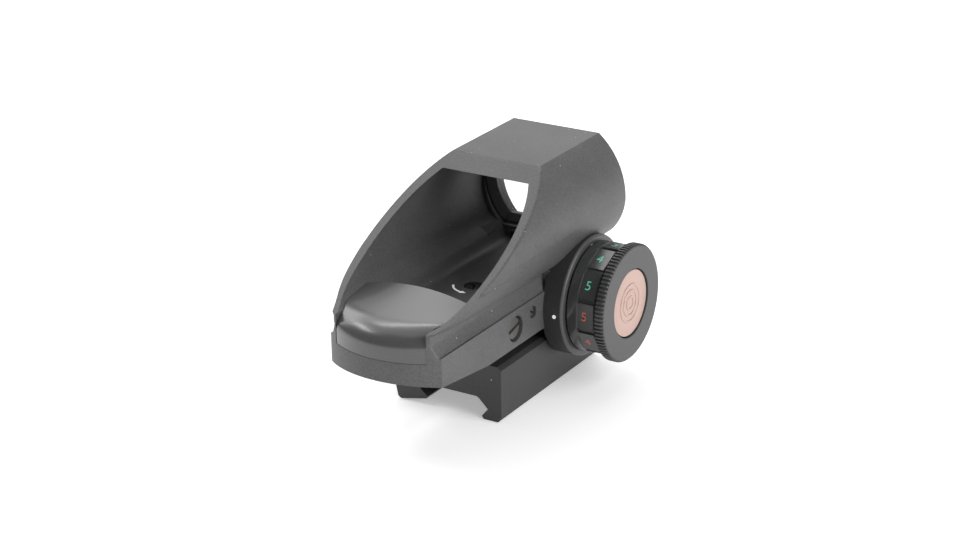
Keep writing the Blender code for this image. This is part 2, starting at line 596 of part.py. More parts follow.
def build_dial(black, cap_look, copper, steel, rubber, board_look, nickel, white):
    centre = (DIAL_Y, DIAL_Z)
    axis_point = (24.0, DIAL_Y, DIAL_Z)
    dial = turned("X", centre, [
        (11.1, 18.8), (11.1, BOSS_X + GAP), (DIAL_R - 0.4, BOSS_X + GAP), (DIAL_R, BOSS_X + GAP + 0.4),
        (DIAL_R, DIAL_END_X - 0.3), (DIAL_R - 0.3, DIAL_END_X)], 55)
    dial = add_object("brightness_dial", dial, black, axis_point)
    cut(dial,
        add_object("tool_cell_bay", cylinder("X", centre, 11.9, 23.0, 31.0, 48)),
        add_object("tool_dial_bore", cylinder("X", centre, 1.9, 17.0, 24.0, 16)))
    for step in range(DIAL_STEPS):
        turn = 2 * math.pi * (step + 0.5) / DIAL_STEPS
        groove = box((24.2, -0.3, DIAL_R - 0.3), (28.2, 0.3, DIAL_R + 1.0))
        place = Matrix.Translation((0.0, DIAL_Y, DIAL_Z)) @ Matrix.Rotation(turn + math.radians(89.0), 4, "X")
        bmesh.ops.transform(groove, matrix=place, verts=groove.verts)
        cut(dial, add_object(f"tool_dial_groove_{step:02d}", groove))

    cap = turned("X", centre, [
        (11.6, 26.4), (11.6, CAP_START_X), (CAP_R - 0.3, CAP_START_X), (CAP_R, CAP_START_X + 0.3),
        (CAP_R, CAP_END_X - 0.4), (CAP_R - 0.4, CAP_END_X)], 60)
    cap = add_object("battery_cap", cap, cap_look, axis_point)
    cut(cap,
        add_object("tool_cap_hollow", cylinder("X", centre, 10.4, 25.0, 28.9, 40)),
        add_object("tool_cap_recess", cylinder("X", centre, INLAY_R + GAP, 30.8, 33.0, 40)))
    inlay = turned("X", centre, [(INLAY_R, 31.1), (INLAY_R, 31.45), (INLAY_R - 0.15, 31.6)], 40)
    add_object("cap_inlay", inlay, copper, axis_point)
    seal = ring("X", centre, 12.9, 11.9, DIAL_END_X + 0.04, CAP_START_X - 0.04, 40)
    add_object("cap_seal", seal, rubber, axis_point)

    cell = [(8.9, 25.3), (9.2, 25.5), (9.2, 25.9), (10.0, 26.1), (10.0, 28.3), (9.8, 28.5)]
    add_object("coin_cell", turned("X", centre, cell, 40), nickel, axis_point)
    build_contact(centre, steel, axis_point)
    screw = add_object("dial_screw", turned("X", centre, [
        (1.5, 12.0), (1.5, 23.3), (3.0, 23.3), (3.0, 24.3)], 24), steel, axis_point)
    slot = box((23.7, DIAL_Y - 0.4, DIAL_Z - 4.0), (25.0, DIAL_Y + 0.4, DIAL_Z + 4.0))
    cut(screw, add_object("tool_dial_screw_slot", slot))
    add_object("switch_wiper", ring("X", centre, 8.0, 2.2, 18.2, 18.5, 24), steel, axis_point)
    board = ring("X", centre, SWITCH_R - GAP, 2.2, SWITCH_FLOOR_X + GAP, SWITCH_FLOOR_X + 1.1, 40)
    board = add_object("switch_board", board, board_look)
    cut(board, add_object("tool_board_wire", cylinder("X", WIRE_HOLE, WIRE_HOLE_R, 15.0, 19.0, 12)))
    detent = (DIAL_Y, DIAL_Z + DETENT_UP)
    ball_x = BOSS_X + GAP - 0.9
    add_object("detent_ball", sphere((ball_x, *detent), 0.8), steel)
    add_object("detent_spring", coil("X", detent, 0.62, 0.12, DETENT_FLOOR_X + GAP, ball_x - 0.9, 3), steel)
    dot_y = DIAL_Y + (BOSS_R + GAP) * math.cos(DOT_ANGLE)
    dot_z = DIAL_Z + (BOSS_R + GAP) * math.sin(DOT_ANGLE)
    add_object("index_dot", cylinder("Y", (DOT_X, dot_z), DOT_R, dot_y - 0.12, dot_y, 16), white)


def build_contact(centre, steel, axis_point):
    """Bent spring plate that presses on the cell: a washer with three raised feet joined to it."""
    plate = add_object("cell_contact", ring("X", centre, 6.6, 3.6, 24.55, 24.85, 24), steel, axis_point)
    for turn in range(3):
        angle = 2 * math.pi * turn / 3
        y = DIAL_Y + 5.1 * math.cos(angle)
        z = DIAL_Z + 5.1 * math.sin(angle)
        join(plate, add_object(f"tool_contact_{turn}", cylinder("X", (y, z), 0.9, 24.7, 25.0, 10)))


def coil(axis, centre, radius, wire, low, high, turns):
    """A compression spring: a round wire along a helix."""
    rings = []
    steps = turns * 12
    for i in range(steps + 1):
        angle = 2 * math.pi * turns * i / steps
        along = low + wire + (high - low - 2 * wire) * i / steps
        ahead_rise = (high - low) / (2 * math.pi * turns)
        out = Vector((math.cos(angle), math.sin(angle)))
        loop = []
        for k in range(6):
            a = 2 * math.pi * k / 6
            r = radius + wire * math.cos(a)
            lift = wire * math.sin(a)
            slip = lift * ahead_rise / radius
            across = (centre[0] + out.x * r + out.y * slip, centre[1] + out.y * r - out.x * slip)
            loop.append(to_axis(axis, across, along + lift))
        rings.append(loop)
    return loft(rings)


# ---------------------------------------------------------------- rail clamp

def jaw_outline():
    """End view (x, z) of the clamp body with its fixed right jaw."""
    return [(CLAMP_LEFT_X, 0.0), (7.5, 0.0), (8.2, -0.4), (JAW_VEE_X, JAW_VEE_Z), (JAW_TOE_X, -4.9),
            (9.5, JAW_FOOT_Z), (JAW_X - 1.0, JAW_FOOT_Z), (JAW_X, JAW_FOOT_Z + 1.0),
            (JAW_X, CLAMP_TOP_Z - 0.9), (JAW_X - 1.1, CLAMP_TOP_Z), (CLAMP_LEFT_X, CLAMP_TOP_Z)]


def plate_outline(top_z):
    """End view (x, z) of the clamp plate when upright."""
    corner = arc((PLATE_X + 1.1, PLATE_FOOT_Z + 1.1), 1.1, 180.0, 270.0, 4)
    return [(PLATE_X, top_z), *corner, (-9.5, PLATE_FOOT_Z), (-JAW_TOE_X, -4.9), (-JAW_VEE_X, JAW_VEE_Z),
            (-8.9, -1.0), (-8.9, top_z)]


def build_clamp(anodised, steel):
    clamp = add_object("rail_clamp", prism("Y", jaw_outline(), -CLAMP_Y, CLAMP_Y), anodised)
    hinge = (PLATE_PIVOT_X, PLATE_PIVOT_Z)
    root_x = CLAMP_LEFT_X + 1.0
    ear_x = PLATE_PIVOT_X + 2.4
    ear = [(root_x, 7.4), (root_x, CLAMP_TOP_Z), (PLATE_X, CLAMP_TOP_Z), (PLATE_X, 7.4), (PLATE_X + 0.4, 4.4),
           (ear_x, 4.4), (ear_x, 7.4)]
    for end, low, high in (("rear", -CLAMP_Y, -EAR_Y), ("front", EAR_Y, CLAMP_Y)):
        join(clamp, add_object(f"tool_ear_{end}", prism("Y", ear, low, high)))
    cut(clamp, add_object("tool_pin_bore", cylinder("Y", hinge, PIN_BORE_R, -30.0, 30.0, 16)))
    for side, y in (("rear", -MOUNT_SCREW_Y), ("front", MOUNT_SCREW_Y)):
        cut(clamp,
            add_object(f"tool_clamp_bore_{side}", cylinder("Z", (0.0, y), 2.3, -1.0, 10.0, 16)),
            add_object(f"tool_clamp_head_{side}", cylinder("Z", (0.0, y), 3.9, -1.0, 3.2, 24)))
        screw = add_object(f"mount_screw_{side}", turned("Z", (0.0, y), [
            (3.4, 0.4), (3.5, 0.6), (3.5, 2.8), (2.0, 2.8), (2.0, 13.1)], 24), steel)
        cut(screw, add_object(f"tool_mount_hex_{side}", cylinder("Z", (0.0, y), 1.4, -1.0, 1.9, 6)))

    pivot = (hinge[0], 0.0, hinge[1])
    plate = add_object("clamp_plate", prism("Y", plate_outline(2.6), -CLAMP_Y, CLAMP_Y), anodised, pivot)
    shoulder = [(PLATE_X, 2.0), (-8.9, 2.0), (-8.9, 4.2), (-12.9, 4.8), (PLATE_X, 4.8)]
    tongue = [(PLATE_PIVOT_X - PLATE_TONGUE_R, 3.0), (PLATE_PIVOT_X + PLATE_TONGUE_R, 3.0),
              *arc(hinge, PLATE_TONGUE_R, 0.0, 180.0, 10)]
    middle = EAR_Y - GAP
    tools = [add_object("tool_plate_shoulder", prism("Y", shoulder, -middle, middle), None, pivot),
             add_object("tool_plate_tongue", prism("Y", tongue, -middle, middle), None, pivot)]
    join(plate, *tools)
    holes = [add_object("tool_plate_pin", cylinder("Y", hinge, PIN_BORE_R, -30.0, 30.0, 16), None, pivot)]
    for side, y in (("rear", -CROSS_SCREW_Y), ("front", CROSS_SCREW_Y)):
        slot = [*arc((y, 0.9), 1.7, 180.0, 360.0, 8), *arc((y, 2.75), 1.7, 0.0, 180.0, 8)]
        slot = prism("X", slot, PLATE_X - 3.0, -6.0)
        holes.append(add_object(f"tool_plate_slot_{side}", slot, None, pivot))
        axis = (y, CROSS_SCREW_Z)
        cut(clamp, add_object(f"tool_cross_bore_{side}", cylinder("X", axis, 1.6, -10.0, 2.0, 16)))
        head = turned("X", axis, [(2.0, -20.9), (2.3, -20.6), (2.3, -18.7), (1.3, -18.7), (1.3, 1.5)], 20)
        screw = add_object(f"clamp_screw_{side}", head, steel, (-18.7, *axis))
        cut(screw, add_object(f"tool_cross_hex_{side}", cylinder("X", axis, 1.15, -22.0, -19.6, 6)))
        washer = ring("X", axis, 2.8, 1.6, -18.4, PLATE_X, 20)
        add_object(f"clamp_washer_{side}", washer, steel, (-18.4, *axis))
    cut(plate, *holes)
    for obj in (plate, *tools, *holes):
        obj.rotation_euler = (0.0, -PLATE_LEAN, 0.0)
    pin = cylinder("Y", hinge, PIN_BORE_R - GAP, 0.2 - CLAMP_Y, CLAMP_Y - 0.2, 16)
    add_object("clamp_pin", pin, steel, pivot)


def main():
    clear_scene()
    anodised = material("anodised_black", (0.13, 0.13, 0.135), 0.5, 0.6)
    clamp_look = material("anodised_clamp", (0.11, 0.11, 0.115), 0.5, 0.6)
    gloss = material("gloss_black_plastic", (0.035, 0.035, 0.037), 0.2)
    satin = material("satin_grey_cap", (0.15, 0.15, 0.155), 0.4, 0.5)
    dark = material("matte_black_plastic", (0.03, 0.03, 0.03), 0.6)
    glass = material("coated_glass", (0.75, 0.85, 0.85), 0.02, 0.0, 0.25)
    clear = material("clear_plastic", (0.8, 0.8, 0.8), 0.05, 0.0, 0.4)
    rubber = material("black_rubber", (0.02, 0.02, 0.02), 0.8)
    black_steel = material("blackened_steel", (0.08, 0.08, 0.08), 0.4, 0.8)
    steel = material("bright_steel", (0.55, 0.55, 0.55), 0.3, 1.0)
    copper = material("copper_plate", (0.80, 0.52, 0.42), 0.35, 0.9)
    brass = material("brass", (0.72, 0.55, 0.25), 0.35, 1.0)
    nickel = material("nickel_plate", (0.62, 0.61, 0.58), 0.25, 1.0)
    board_look = material("board_green", (0.03, 0.17, 0.08), 0.5)
    red = material("red_epoxy", (0.6, 0.02, 0.02), 0.15)
    white = material("white_paint", (0.9, 0.9, 0.88), 0.5)
    build_housing(anodised)
    build_optics(dark, glass, rubber)
    build_cover(gloss, black_steel, clear)
    build_arm(dark, brass, red, rubber, steel)
    build_springs(steel)
    build_adjusters(black_steel)
    build_dial(gloss, satin, copper, steel, rubber, board_look, nickel, white)
    build_clamp(clamp_look, black_steel)


main()
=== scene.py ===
"""Looks for a hooded red dot finder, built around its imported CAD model.

Frame: +Z up, +Y towards the target, -Y towards the eye, +X towards the dial; origin on the rail seat.
Sizes below are in millimetres and angles in degrees unless radians are named; meshes are built in metres.
"""

import json
import math

import bmesh
import bpy
from mathutils import Matrix, Vector

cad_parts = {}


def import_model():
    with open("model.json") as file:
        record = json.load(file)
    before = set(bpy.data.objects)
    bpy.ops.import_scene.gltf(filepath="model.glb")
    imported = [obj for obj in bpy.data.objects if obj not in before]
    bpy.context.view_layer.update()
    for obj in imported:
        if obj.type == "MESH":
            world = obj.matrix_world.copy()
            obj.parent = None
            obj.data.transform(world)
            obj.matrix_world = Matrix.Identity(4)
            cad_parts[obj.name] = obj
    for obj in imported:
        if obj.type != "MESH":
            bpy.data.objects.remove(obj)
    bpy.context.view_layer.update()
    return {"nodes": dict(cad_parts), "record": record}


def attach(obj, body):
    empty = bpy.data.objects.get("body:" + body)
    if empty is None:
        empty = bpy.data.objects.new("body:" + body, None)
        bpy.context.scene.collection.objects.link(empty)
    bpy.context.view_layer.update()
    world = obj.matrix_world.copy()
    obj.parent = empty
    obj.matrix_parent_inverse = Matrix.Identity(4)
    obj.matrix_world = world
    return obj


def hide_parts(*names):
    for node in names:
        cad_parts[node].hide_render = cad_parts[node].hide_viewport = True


MM = 0.001
PAST = 2.0  # how far a cutting or trimmed shape runs past the surface it meets

# Cleaning and shading of every mesh
MERGE_WITHIN = 0.03
SLIVER = 0.02
FLAT_WITHIN = 0.6
NORMAL_WEIGHT = 80

# Hood, seen from the front about the optical axis
AXIS_Z = 37.4
HOOD_R = 20.4
HOOD_TOP = 16.1
SHOULDER_DROP = 0.7
HOOD_FOOT = [
    (11.6, 24.9), (15.1, 27.2), (16.2, 27.9), (17.1, 28.8), (18.1, 30.2), (19.05, 31.9), (19.75, 33.7),
    (20.15, 35.2),
]
FRONT_Y = 28.3

# Bore inside the hood
BORE_R = 18.0
BORE_TOP = 13.1
FLOOR_Z = 23.6
BORE_KNEE_Z = 30.0
BORE_FOOT = [
    (8.0, 23.6), (9.2, 23.75), (10.1, 24.2), (10.8, 24.85), (11.4, 25.6), (12.0, 26.35), (12.75, 27.0),
    (13.6, 27.65), (14.5, 28.25), (15.5, 28.9),
]
BORE_END_Y = 21.2

# Sloping rim of the hood, seen from the side
RIM_TOP_Y = -1.0
RIM_LOW_Y = -48.0
RIM_LOW_Z = 30.1
RIM_SAG = 0.6
RIM_FOOT = [(-49.6, 29.5), (-51.2, 29.0), (-53.0, 28.55), (-55.0, 28.2)]
RIM_END_Y = -60.0
RIM_END_Z = 27.4
RIM_STEPS = 24
CLEAR_OF_RIM = 6.0

# Narrowing towards the rear
TAPER_PER_MM = 0.0016
TAIL_START_Y = -40.0
TAIL_LENGTH = 14.0
TAIL_SHARE = 0.10
FRONT_STATIONS = (-2.0, -20.0)
STATION_STEP = 1.5

# Waist, base and pedestal
HALF_WIDTH = 15.5
BASE_Z = 12.7
LEDGE_Z = 22.4
PLAN_R = 24.6
PLAN_ARC_X = 22.0
PLAN_X = 24.0
REAR_Y = -57.3
WAIST = [(15.0, 22.4), (14.5, 23.3), (13.9, 24.6), (13.5, 25.8), (13.4, 28.0)]
LIFT_Y = -31.0
LIFT_END_Z = 16.0
PEDESTAL_X = 9.0
PEDESTAL_Y = 24.0
CLAMP_TOP_Z = 9.1
SEAT_GAP = 0.3
HOUSING_EDGE = 0.28

# Worn edges: the rim on the dial's side, and the waist's corners at the tail
WORN_EDGE = 0.55
WORN_SEGMENTS = 4
WORN_ANGLE = 20.0
WORN_FROM_Z = 34.0
WORN_TO_Z = 52.4
TAIL_CORNER_Z = 27.6
ON_SURFACE = 0.05

# Lamp cover and its opening
WINDOW_X = 12.6
WINDOW_Z = 21.1
WINDOW_FRONT_Y = -36.4
COVER_REAR_Z = 28.3
COVER_FRONT_Y = -36.8
COVER_FRONT_Z = 32.0
COVER_CROWN = 1.5
COVER_ROUND = 4.2
COVER_RUN = 6.5
COVER_GAP = 0.25
COVER_HALF_X = 17.0
COVER_FIT_TOP_Z = 34.0
COVER_EDGE = 1.0
COVER_ACROSS = 48
COVER_ROUND_STEPS = 12
COVER_FLAT_STEPS = 6

# Lens, its ring and the mouth it stands in
LENS_Y = 24.4
LENS_Z = 39.0
LENS_LEAN = math.radians(6.0)
LENS_R = 15.0
LENS_HALF_HEIGHT = 9.9
LENS_REAR = -0.2
LENS_FRONT = 1.3
LENS_LAP = 0.7
LENS_EDGE = 0.12
FRAME_R = 17.0
FRAME_HALF_HEIGHT = 11.7
FRAME_REAR = -3.0
FRAME_FRONT = 1.3
FRAME_FILL = 0.25
FRAME_SEAT = 0.3
FRAME_FLARE = 1.9
FRAME_EDGE = 0.25
MOUTH_R = 16.0
MOUTH_HALF_HEIGHT = 11.0

# Dial boss
DIAL_Y = 10.3
DIAL_Z = 17.2
BOSS_R = 15.6
BOSS_X = 20.9
BOSS_CHAMFER = 0.7
BOSS_SKIN = 0.5
BOSS_WALL = 1.6
BOSS_WEB_HALF = 12.4
BOSS_WEB_TOP_Z = 27.0
SWITCH_R = 11.5
SWITCH_FLOOR_X = 16.8

# Dial drum with its numbered facets
DIAL_R = 14.2
DIAL_END_X = 28.8
DIAL_STEPS = 11
DRUM_FOOT_X = 18.8
DRUM_FLANGE_X = 21.2
DRUM_NECK_R = 11.1
DRUM_WELL_X = 23.0
DRUM_WELL_R = 11.9
DRUM_HOLE_R = 1.9
DRUM_END_ROUND = 0.25
FIRST_FACET = 179.3
FACET_APOTHEM = 13.8
FACET_START_X = 23.9
FACET_OFFSETS = (-16.3636, -14.5, -13.9, -11.0, -7.5, -3.8, 0.0, 3.8, 7.5, 11.0, 13.9, 14.5)
GROOVE_FROM = 14.0
GROOVE_DEPTH = 0.55
NUMBER_X = 26.0
NUMBER_HEIGHT = 2.3
NUMBER_THICK = 0.02
NUMBER_PROUD = 0.015
NUMBERS = {
    "green": [("3", -3), ("4", -2), ("5", -1), ("2", -4), ("1", -5)],
    "red": [("5", 0), ("4", 1), ("3", 2), ("2", 3), ("1", 4)],
}

# Battery cap and its inlay
CAP_R = 15.1
CAP_START_X = 29.3
CAP_END_X = 31.9
KNURLS = 90
KNURL_DEPTH = 0.42
KNURL_CUT = ((0.0, 0.0), (0.42, 0.0), (0.54, 1.0), (0.88, 1.0))
INLAY_R = 8.6
INLAY_FOOT_X = 31.1
INLAY_FACE_X = 31.52
RELIEF = 0.14
RELIEF_RINGS = (2.0, 3.6, 5.2)
RELIEF_WIDTH = 0.7
RELIEF_SLOPE = 0.12
RELIEF_SINK = 0.05

# Adjusting screws: profiles are (radius, place along the axis)
ELEVATION_Y = -12.5
ELEVATION_WELL_R = 2.5
ELEVATION_PROFILE = [(1.3, 19.5), (1.3, 22.3), (2.2, 22.3), (2.2, 23.3)]
WINDAGE_Y = -18.4
WINDAGE_Z = 17.5
WINDAGE_RECESS_R = 3.3
WINDAGE_PROFILE = [(1.4, 4.6), (1.4, 13.9), (2.95, 13.9), (2.95, 14.6), (2.6, 14.9)]
LOCK_Y = -10.1
LOCK_Z = 18.9
LOCK_R = 1.6
LOCK_PROFILE = [(1.25, 5.2), (1.25, 14.8)]
SLOT_DEPTH = 0.75
SLOT_REACH = 5.0
SCREW_EDGE = 0.06

# Painted arrow round the elevation screw
ARROW_R = 5.1
ARROW_START = 203.0
ARROW_END = 262.0
ARROW_TIP_TURN = 16.0
ARROW_HALF_WIDTH = 0.27
ARROW_BARB = 0.7

# Rail clamp: block, ears and swing plate
CLAMP_Y = 24.1
CLAMP_LEFT_X = -7.2
JAW_X = 14.6
JAW_FOOT_Z = -5.7
JAW_TOE_X = 8.95
JAW_TOE_Z = -4.9
JAW_VEE_X = 10.7
JAW_VEE_Z = -2.8
EAR_Y = 21.9
EAR_STEP_Z = 7.4
EAR_FOOT_Z = 4.4
EAR_BEHIND_PIVOT = 2.4
PLATE_X = -17.9
PLATE_INNER_X = -8.9
PLATE_FOOT_Z = -5.5
PLATE_FOOT_R = 1.1
PLATE_TOP_Z = 2.6
PLATE_PIVOT_X = -15.2
PLATE_PIVOT_Z = 6.2
PLATE_LEAN = math.radians(12.0)
PLATE_TONGUE_R = 2.2
PIVOT_HOLE_R = 1.3
CROSS_SCREW_Y = 17.0
CROSS_SCREW_Z = 2.2
CROSS_HOLE_R = 1.6
CROSS_SLOT_R = 1.7
MOUNT_SCREW_Y = 8.0
MOUNT_HOLE_R = 2.3
MOUNT_HEAD_R = 3.9
MOUNT_HEAD_TOP_Z = 3.2
CLAMP_EDGE = 0.22

# Materials; colours are linear
COAT_ROUGHNESS = 0.2
BROAD_SHARE = 0.3
BROAD_SCALE = 90.0
TONE_ENDS = (0.35, 0.65)
SPECK_SCALE = 420.0
SPECK_R = 0.065
SPECK_COLOUR = (0.42, 0.42, 0.42, 1.0)
GRAIN_HEIGHT = 0.00003
# painted light: white paint gets a faint glow of its own so the marks read brighter than the lamps make them
PAINT_PAINTED_LIGHT = 0.25
GLASS_ALPHA = 0.07

# Stage and camera: places and sizes in metres, the camera's lens and sensor in millimetres
GROUND_Z = JAW_FOOT_Z * MM
GROUND_DROP = 0.00005
FLOOR_HALF = 6.0
FLOOR_GLOW = 0.35
WORLD_LIGHT = 0.28
LIGHT_AIM = (0.0, 0.0, 0.02)
SOFTBOXES = [
    ("overhead", (-0.25, 0.15, 0.90), (1.1, 1.1), 3.1),
    ("far", (-0.30, 0.90, 0.55), (0.9, 0.9), 2.8),
    ("right", (0.90, -0.08, 0.45), (0.8, 0.8), 8.3),
    ("left", (-0.90, 0.10, 0.55), (0.7, 0.7), 4.0),
    ("top_strip", (-0.40, 0.25, 0.88), (0.5, 0.10), 1.3),
    ("rear_strip", (-0.64, -0.26, 0.74), (0.30, 0.12), 0.9),
]
CAMERA_AT = (0.276535, -0.455040, 0.236177)
CAMERA_AZIMUTH = math.radians(31.587)
CAMERA_ELEVATION = math.radians(21.902)
CAMERA_ROLL = math.radians(-0.710)
CAMERA_LENS = 84.12
SENSOR_WIDTH = 36.0
CLIP_START = 0.01


# ---------------------------------------------------------------- mesh helpers

def to_axis(axis, across, along):
    first, second = across
    if axis == "X":
        return Vector((along, first, second))
    if axis == "Y":
        return Vector((first, along, second))
    return Vector((first, second, along))


def on_circle(centre, radius, degrees):
    angle = math.radians(degrees)
    return (centre[0] + radius * math.cos(angle), centre[1] + radius * math.sin(angle))


def arc(centre, radius, start, end, count):
    return [on_circle(centre, radius, start + (end - start) * i / count) for i in range(count + 1)]


def circle(centre, radius, count):
    return arc(centre, radius, 0.0, 360.0, count)[:-1]


def loft(rings, back_to_first=False):
    """A closed mesh through rings of equally many points, capped at both ends or led back to the first."""
    bm = bmesh.new()
    made = [[bm.verts.new(point) for point in ring] for ring in rings]
    count = len(made[0])
    for lower, upper in zip(made, made[1:] + made[:1] if back_to_first else made[1:]):
        for i in range(count):
            j = (i + 1) % count
            bm.faces.new((lower[i], lower[j], upper[j], upper[i]))
    if not back_to_first:
        bm.faces.new(made[0][::-1])
        bm.faces.new(made[-1])
    return bm


def prism(axis, outline, low, high):
    return loft([[to_axis(axis, point, at) for point in outline] for at in (low, high)])


def box(low, high):
    outline = [(low[0], low[1]), (high[0], low[1]), (high[0], high[1]), (low[0], high[1])]
    return prism("Z", outline, low[2], high[2])


def turned(axis, centre, profile, count=96):
    return loft([[to_axis(axis, point, along) for point in circle(centre, radius, count)]
                 for radius, along in profile])


def cylinder(axis, centre, radius, low, high, count=64):
    return turned(axis, centre, [(radius, low), (radius, high)], count)


def helper(name, bm):
    """An object for Booleans only."""
    bmesh.ops.recalc_face_normals(bm, faces=bm.faces)
    bmesh.ops.scale(bm, vec=(MM, MM, MM), verts=bm.verts)
    mesh = bpy.data.meshes.new(name)
    bm.to_mesh(mesh)
    bm.free()
    obj = bpy.data.objects.new(name, mesh)
    bpy.context.scene.collection.objects.link(obj)
    return obj


def combine(obj, steps):
    """Applies Booleans (operation, mesh) in turn and returns the result as one plain mesh."""
    tools = []
    for i, (operation, bm) in enumerate(steps):
        tool = helper(f"tool_{i}", bm)
        tools.append(tool)
        modifier = obj.modifiers.new(f"step_{i}", "BOOLEAN")
        modifier.operation = operation
        modifier.object = tool
        modifier.solver = "EXACT"
    graph = bpy.context.evaluated_depsgraph_get()
    mesh = bpy.data.meshes.new_from_object(obj.evaluated_get(graph))
    for thing in [obj, *tools]:
        bpy.data.objects.remove(thing)
    return mesh


def sharp_edges(bm, angle):
    return [e for e in bm.edges if len(e.link_faces) == 2 and e.calc_face_angle(0.0) > math.radians(angle)]


def round_edges(bm, edges, width, segments, clamp=True):
    bmesh.ops.bevel(bm, geom=edges, offset=width * MM, offset_type="OFFSET", segments=segments, profile=0.5,
                    affect="EDGES", clamp_overlap=clamp, miter_outer="ARC" if clamp else "SHARP",
                    harden_normals=False)


def finish_piece(name, mesh, look, body, slot, replaced=(), edge=0.0, segments=2, smooth=32.0, worn=None):
    """Rounds a mesh's sharp edges, those that worn picks by more, shades it and gives it to a body."""
    bm = bmesh.new()
    bm.from_mesh(mesh)
    bmesh.ops.remove_doubles(bm, verts=bm.verts, dist=MERGE_WITHIN * MM)
    bmesh.ops.dissolve_degenerate(bm, edges=bm.edges, dist=SLIVER * MM)
    bmesh.ops.dissolve_limit(bm, angle_limit=math.radians(FLAT_WITHIN), verts=bm.verts, edges=bm.edges)
    if worn:
        picked = [e for e in sharp_edges(bm, WORN_ANGLE) if worn(e)]
        round_edges(bm, picked, WORN_EDGE, WORN_SEGMENTS, False)
    if edge > 0.0:
        round_edges(bm, sharp_edges(bm, smooth), edge, segments)
    bmesh.ops.recalc_face_normals(bm, faces=bm.faces)
    bm.to_mesh(mesh)
    bm.free()
    mesh.name = name
    mesh.shade_smooth()
    mesh.set_sharp_from_angle(angle=math.radians(smooth))
    obj = bpy.data.objects.new(name, mesh)
    bpy.context.scene.collection.objects.link(obj)
    mesh.materials.clear()
    mesh.materials.append(look)
    weighted = obj.modifiers.new("weighted", "WEIGHTED_NORMAL")
    weighted.keep_sharp = True
    weighted.weight = NORMAL_WEIGHT
    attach(obj, body)
    if replaced:
        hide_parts(*replaced)


def piece(name, bm, look, body, slot, replaced=(), steps=(), **options):
    finish_piece(name, combine(helper(name, bm), steps), look, body, slot, replaced, **options)


# ---------------------------------------------------------------- shapes of the housing

def narrowing(y):
    taper = TAPER_PER_MM * max(0.0, -y)
    tail = TAIL_SHARE * (max(0.0, TAIL_START_Y - y) / TAIL_LENGTH) ** 2
    return 1.0 - taper - tail


def narrowed_loft(outline, front, rear):
    stations = [front, *FRONT_STATIONS, TAIL_START_Y]
    y = TAIL_START_Y - STATION_STEP
    while y > rear + 0.5:
        stations.append(y)
        y -= STATION_STEP
    stations.append(rear)
    stations = [s for s in stations if rear <= s <= front]
    return loft([[Vector((x * narrowing(y), y, z)) for x, z in outline] for y in stations])


def flat_circle(centre_z, radius, half_height, count):
    """A circle cut flat at the top and the bottom."""
    cut = math.degrees(math.asin(half_height / radius))
    right = arc((0.0, centre_z), radius, -cut, cut, count)
    left = arc((0.0, centre_z), radius, 180.0 - cut, 180.0 + cut, count)
    return right + left


def plan_outline():
    """The housing seen from above, with its curved rear face."""
    half_angle = math.degrees(math.asin(PLAN_ARC_X / PLAN_R))
    rear = arc((0.0, REAR_Y + PLAN_R), PLAN_R, 270.0 - half_angle, 270.0 + half_angle, 60)
    return [(-PLAN_X, FRONT_Y + 1.0), *rear, (PLAN_X, FRONT_Y + 1.0)]


def rim_outline():
    """What is cut away above the sloping rim, as (y, z)."""
    top_z = AXIS_Z + HOOD_TOP
    points = []
    for i in range(RIM_STEPS + 1):
        share = i / RIM_STEPS
        y = RIM_TOP_Y + (RIM_LOW_Y - RIM_TOP_Y) * share
        z = top_z + (RIM_LOW_Z - top_z) * share - RIM_SAG * 4 * share * (1 - share)
        points.append((y, z))
    points += [*RIM_FOOT, (RIM_END_Y, RIM_END_Z)]
    points.append((RIM_END_Y, top_z + CLEAR_OF_RIM))
    points.append((RIM_TOP_Y + 3.2, top_z + CLEAR_OF_RIM))
    return points


def on_outer_rim(edge):
    """Whether an edge runs where the sloping rim meets the outside of the hood on the dial's side."""
    slope = sorted(rim_outline()[:-2])
    for vertex in edge.verts:
        x, y, z = vertex.co / MM
        if x < 0.0 or not WORN_FROM_Z < z < WORN_TO_Z:
            return False
        nearest = [(a, b) for a, b in zip(slope[:-1], slope[1:]) if a[0] - 0.001 <= y <= b[0] + 0.001]
        if not nearest:
            return False
        (y0, z0), (y1, z1) = nearest[0]
        if abs(z0 + (z1 - z0) * (y - y0) / (y1 - y0) - z) > ON_SURFACE:
            return False
        if math.hypot(x / narrowing(y), z - AXIS_Z) < (BORE_R + HOOD_R) / 2:
            return False
    return True


def on_tail_corner(edge):
    """Whether an edge stands where the waist meets the curved rear face."""
    low, high = sorted((vertex.co / MM for vertex in edge.verts), key=lambda point: point.z)
    for point in (low, high):
        from_arc = math.hypot(point.x, point.y - REAR_Y - PLAN_R) - PLAN_R
        if abs(from_arc) > ON_SURFACE or abs(point.x) < WINDOW_X + 0.3:
            return False
        if not LEDGE_Z - ON_SURFACE < point.z < TAIL_CORNER_Z:
            return False
    return high.z - low.z > 0.5 * (high - low).length


def mirrored(half):
    return half + [(-x, z) for x, z in reversed(half)]


def smoothed(points):
    """The points with two more on a smooth curve between each pair."""
    made = []
    last = len(points) - 1
    for i in range(last):
        before, start, end, after = (Vector(points[max(0, min(last, i + k))]) for k in (-1, 0, 1, 2))
        for step in range(3):
            t = step / 3
            place = 0.5 * (2 * start + (end - before) * t
                           + (2 * before - 5 * start + 4 * end - after) * t * t
                           + (3 * start - before - 3 * end + after) * t ** 3)
            made.append((place.x, place.y))
    return made + [points[-1]]


def hood_outline():
    high = math.degrees(math.asin(HOOD_TOP / HOOD_R))
    low = math.degrees(math.asin(SHOULDER_DROP / HOOD_R))
    return mirrored(smoothed(HOOD_FOOT) + arc((0.0, AXIS_Z), HOOD_R, -low, high, 40))


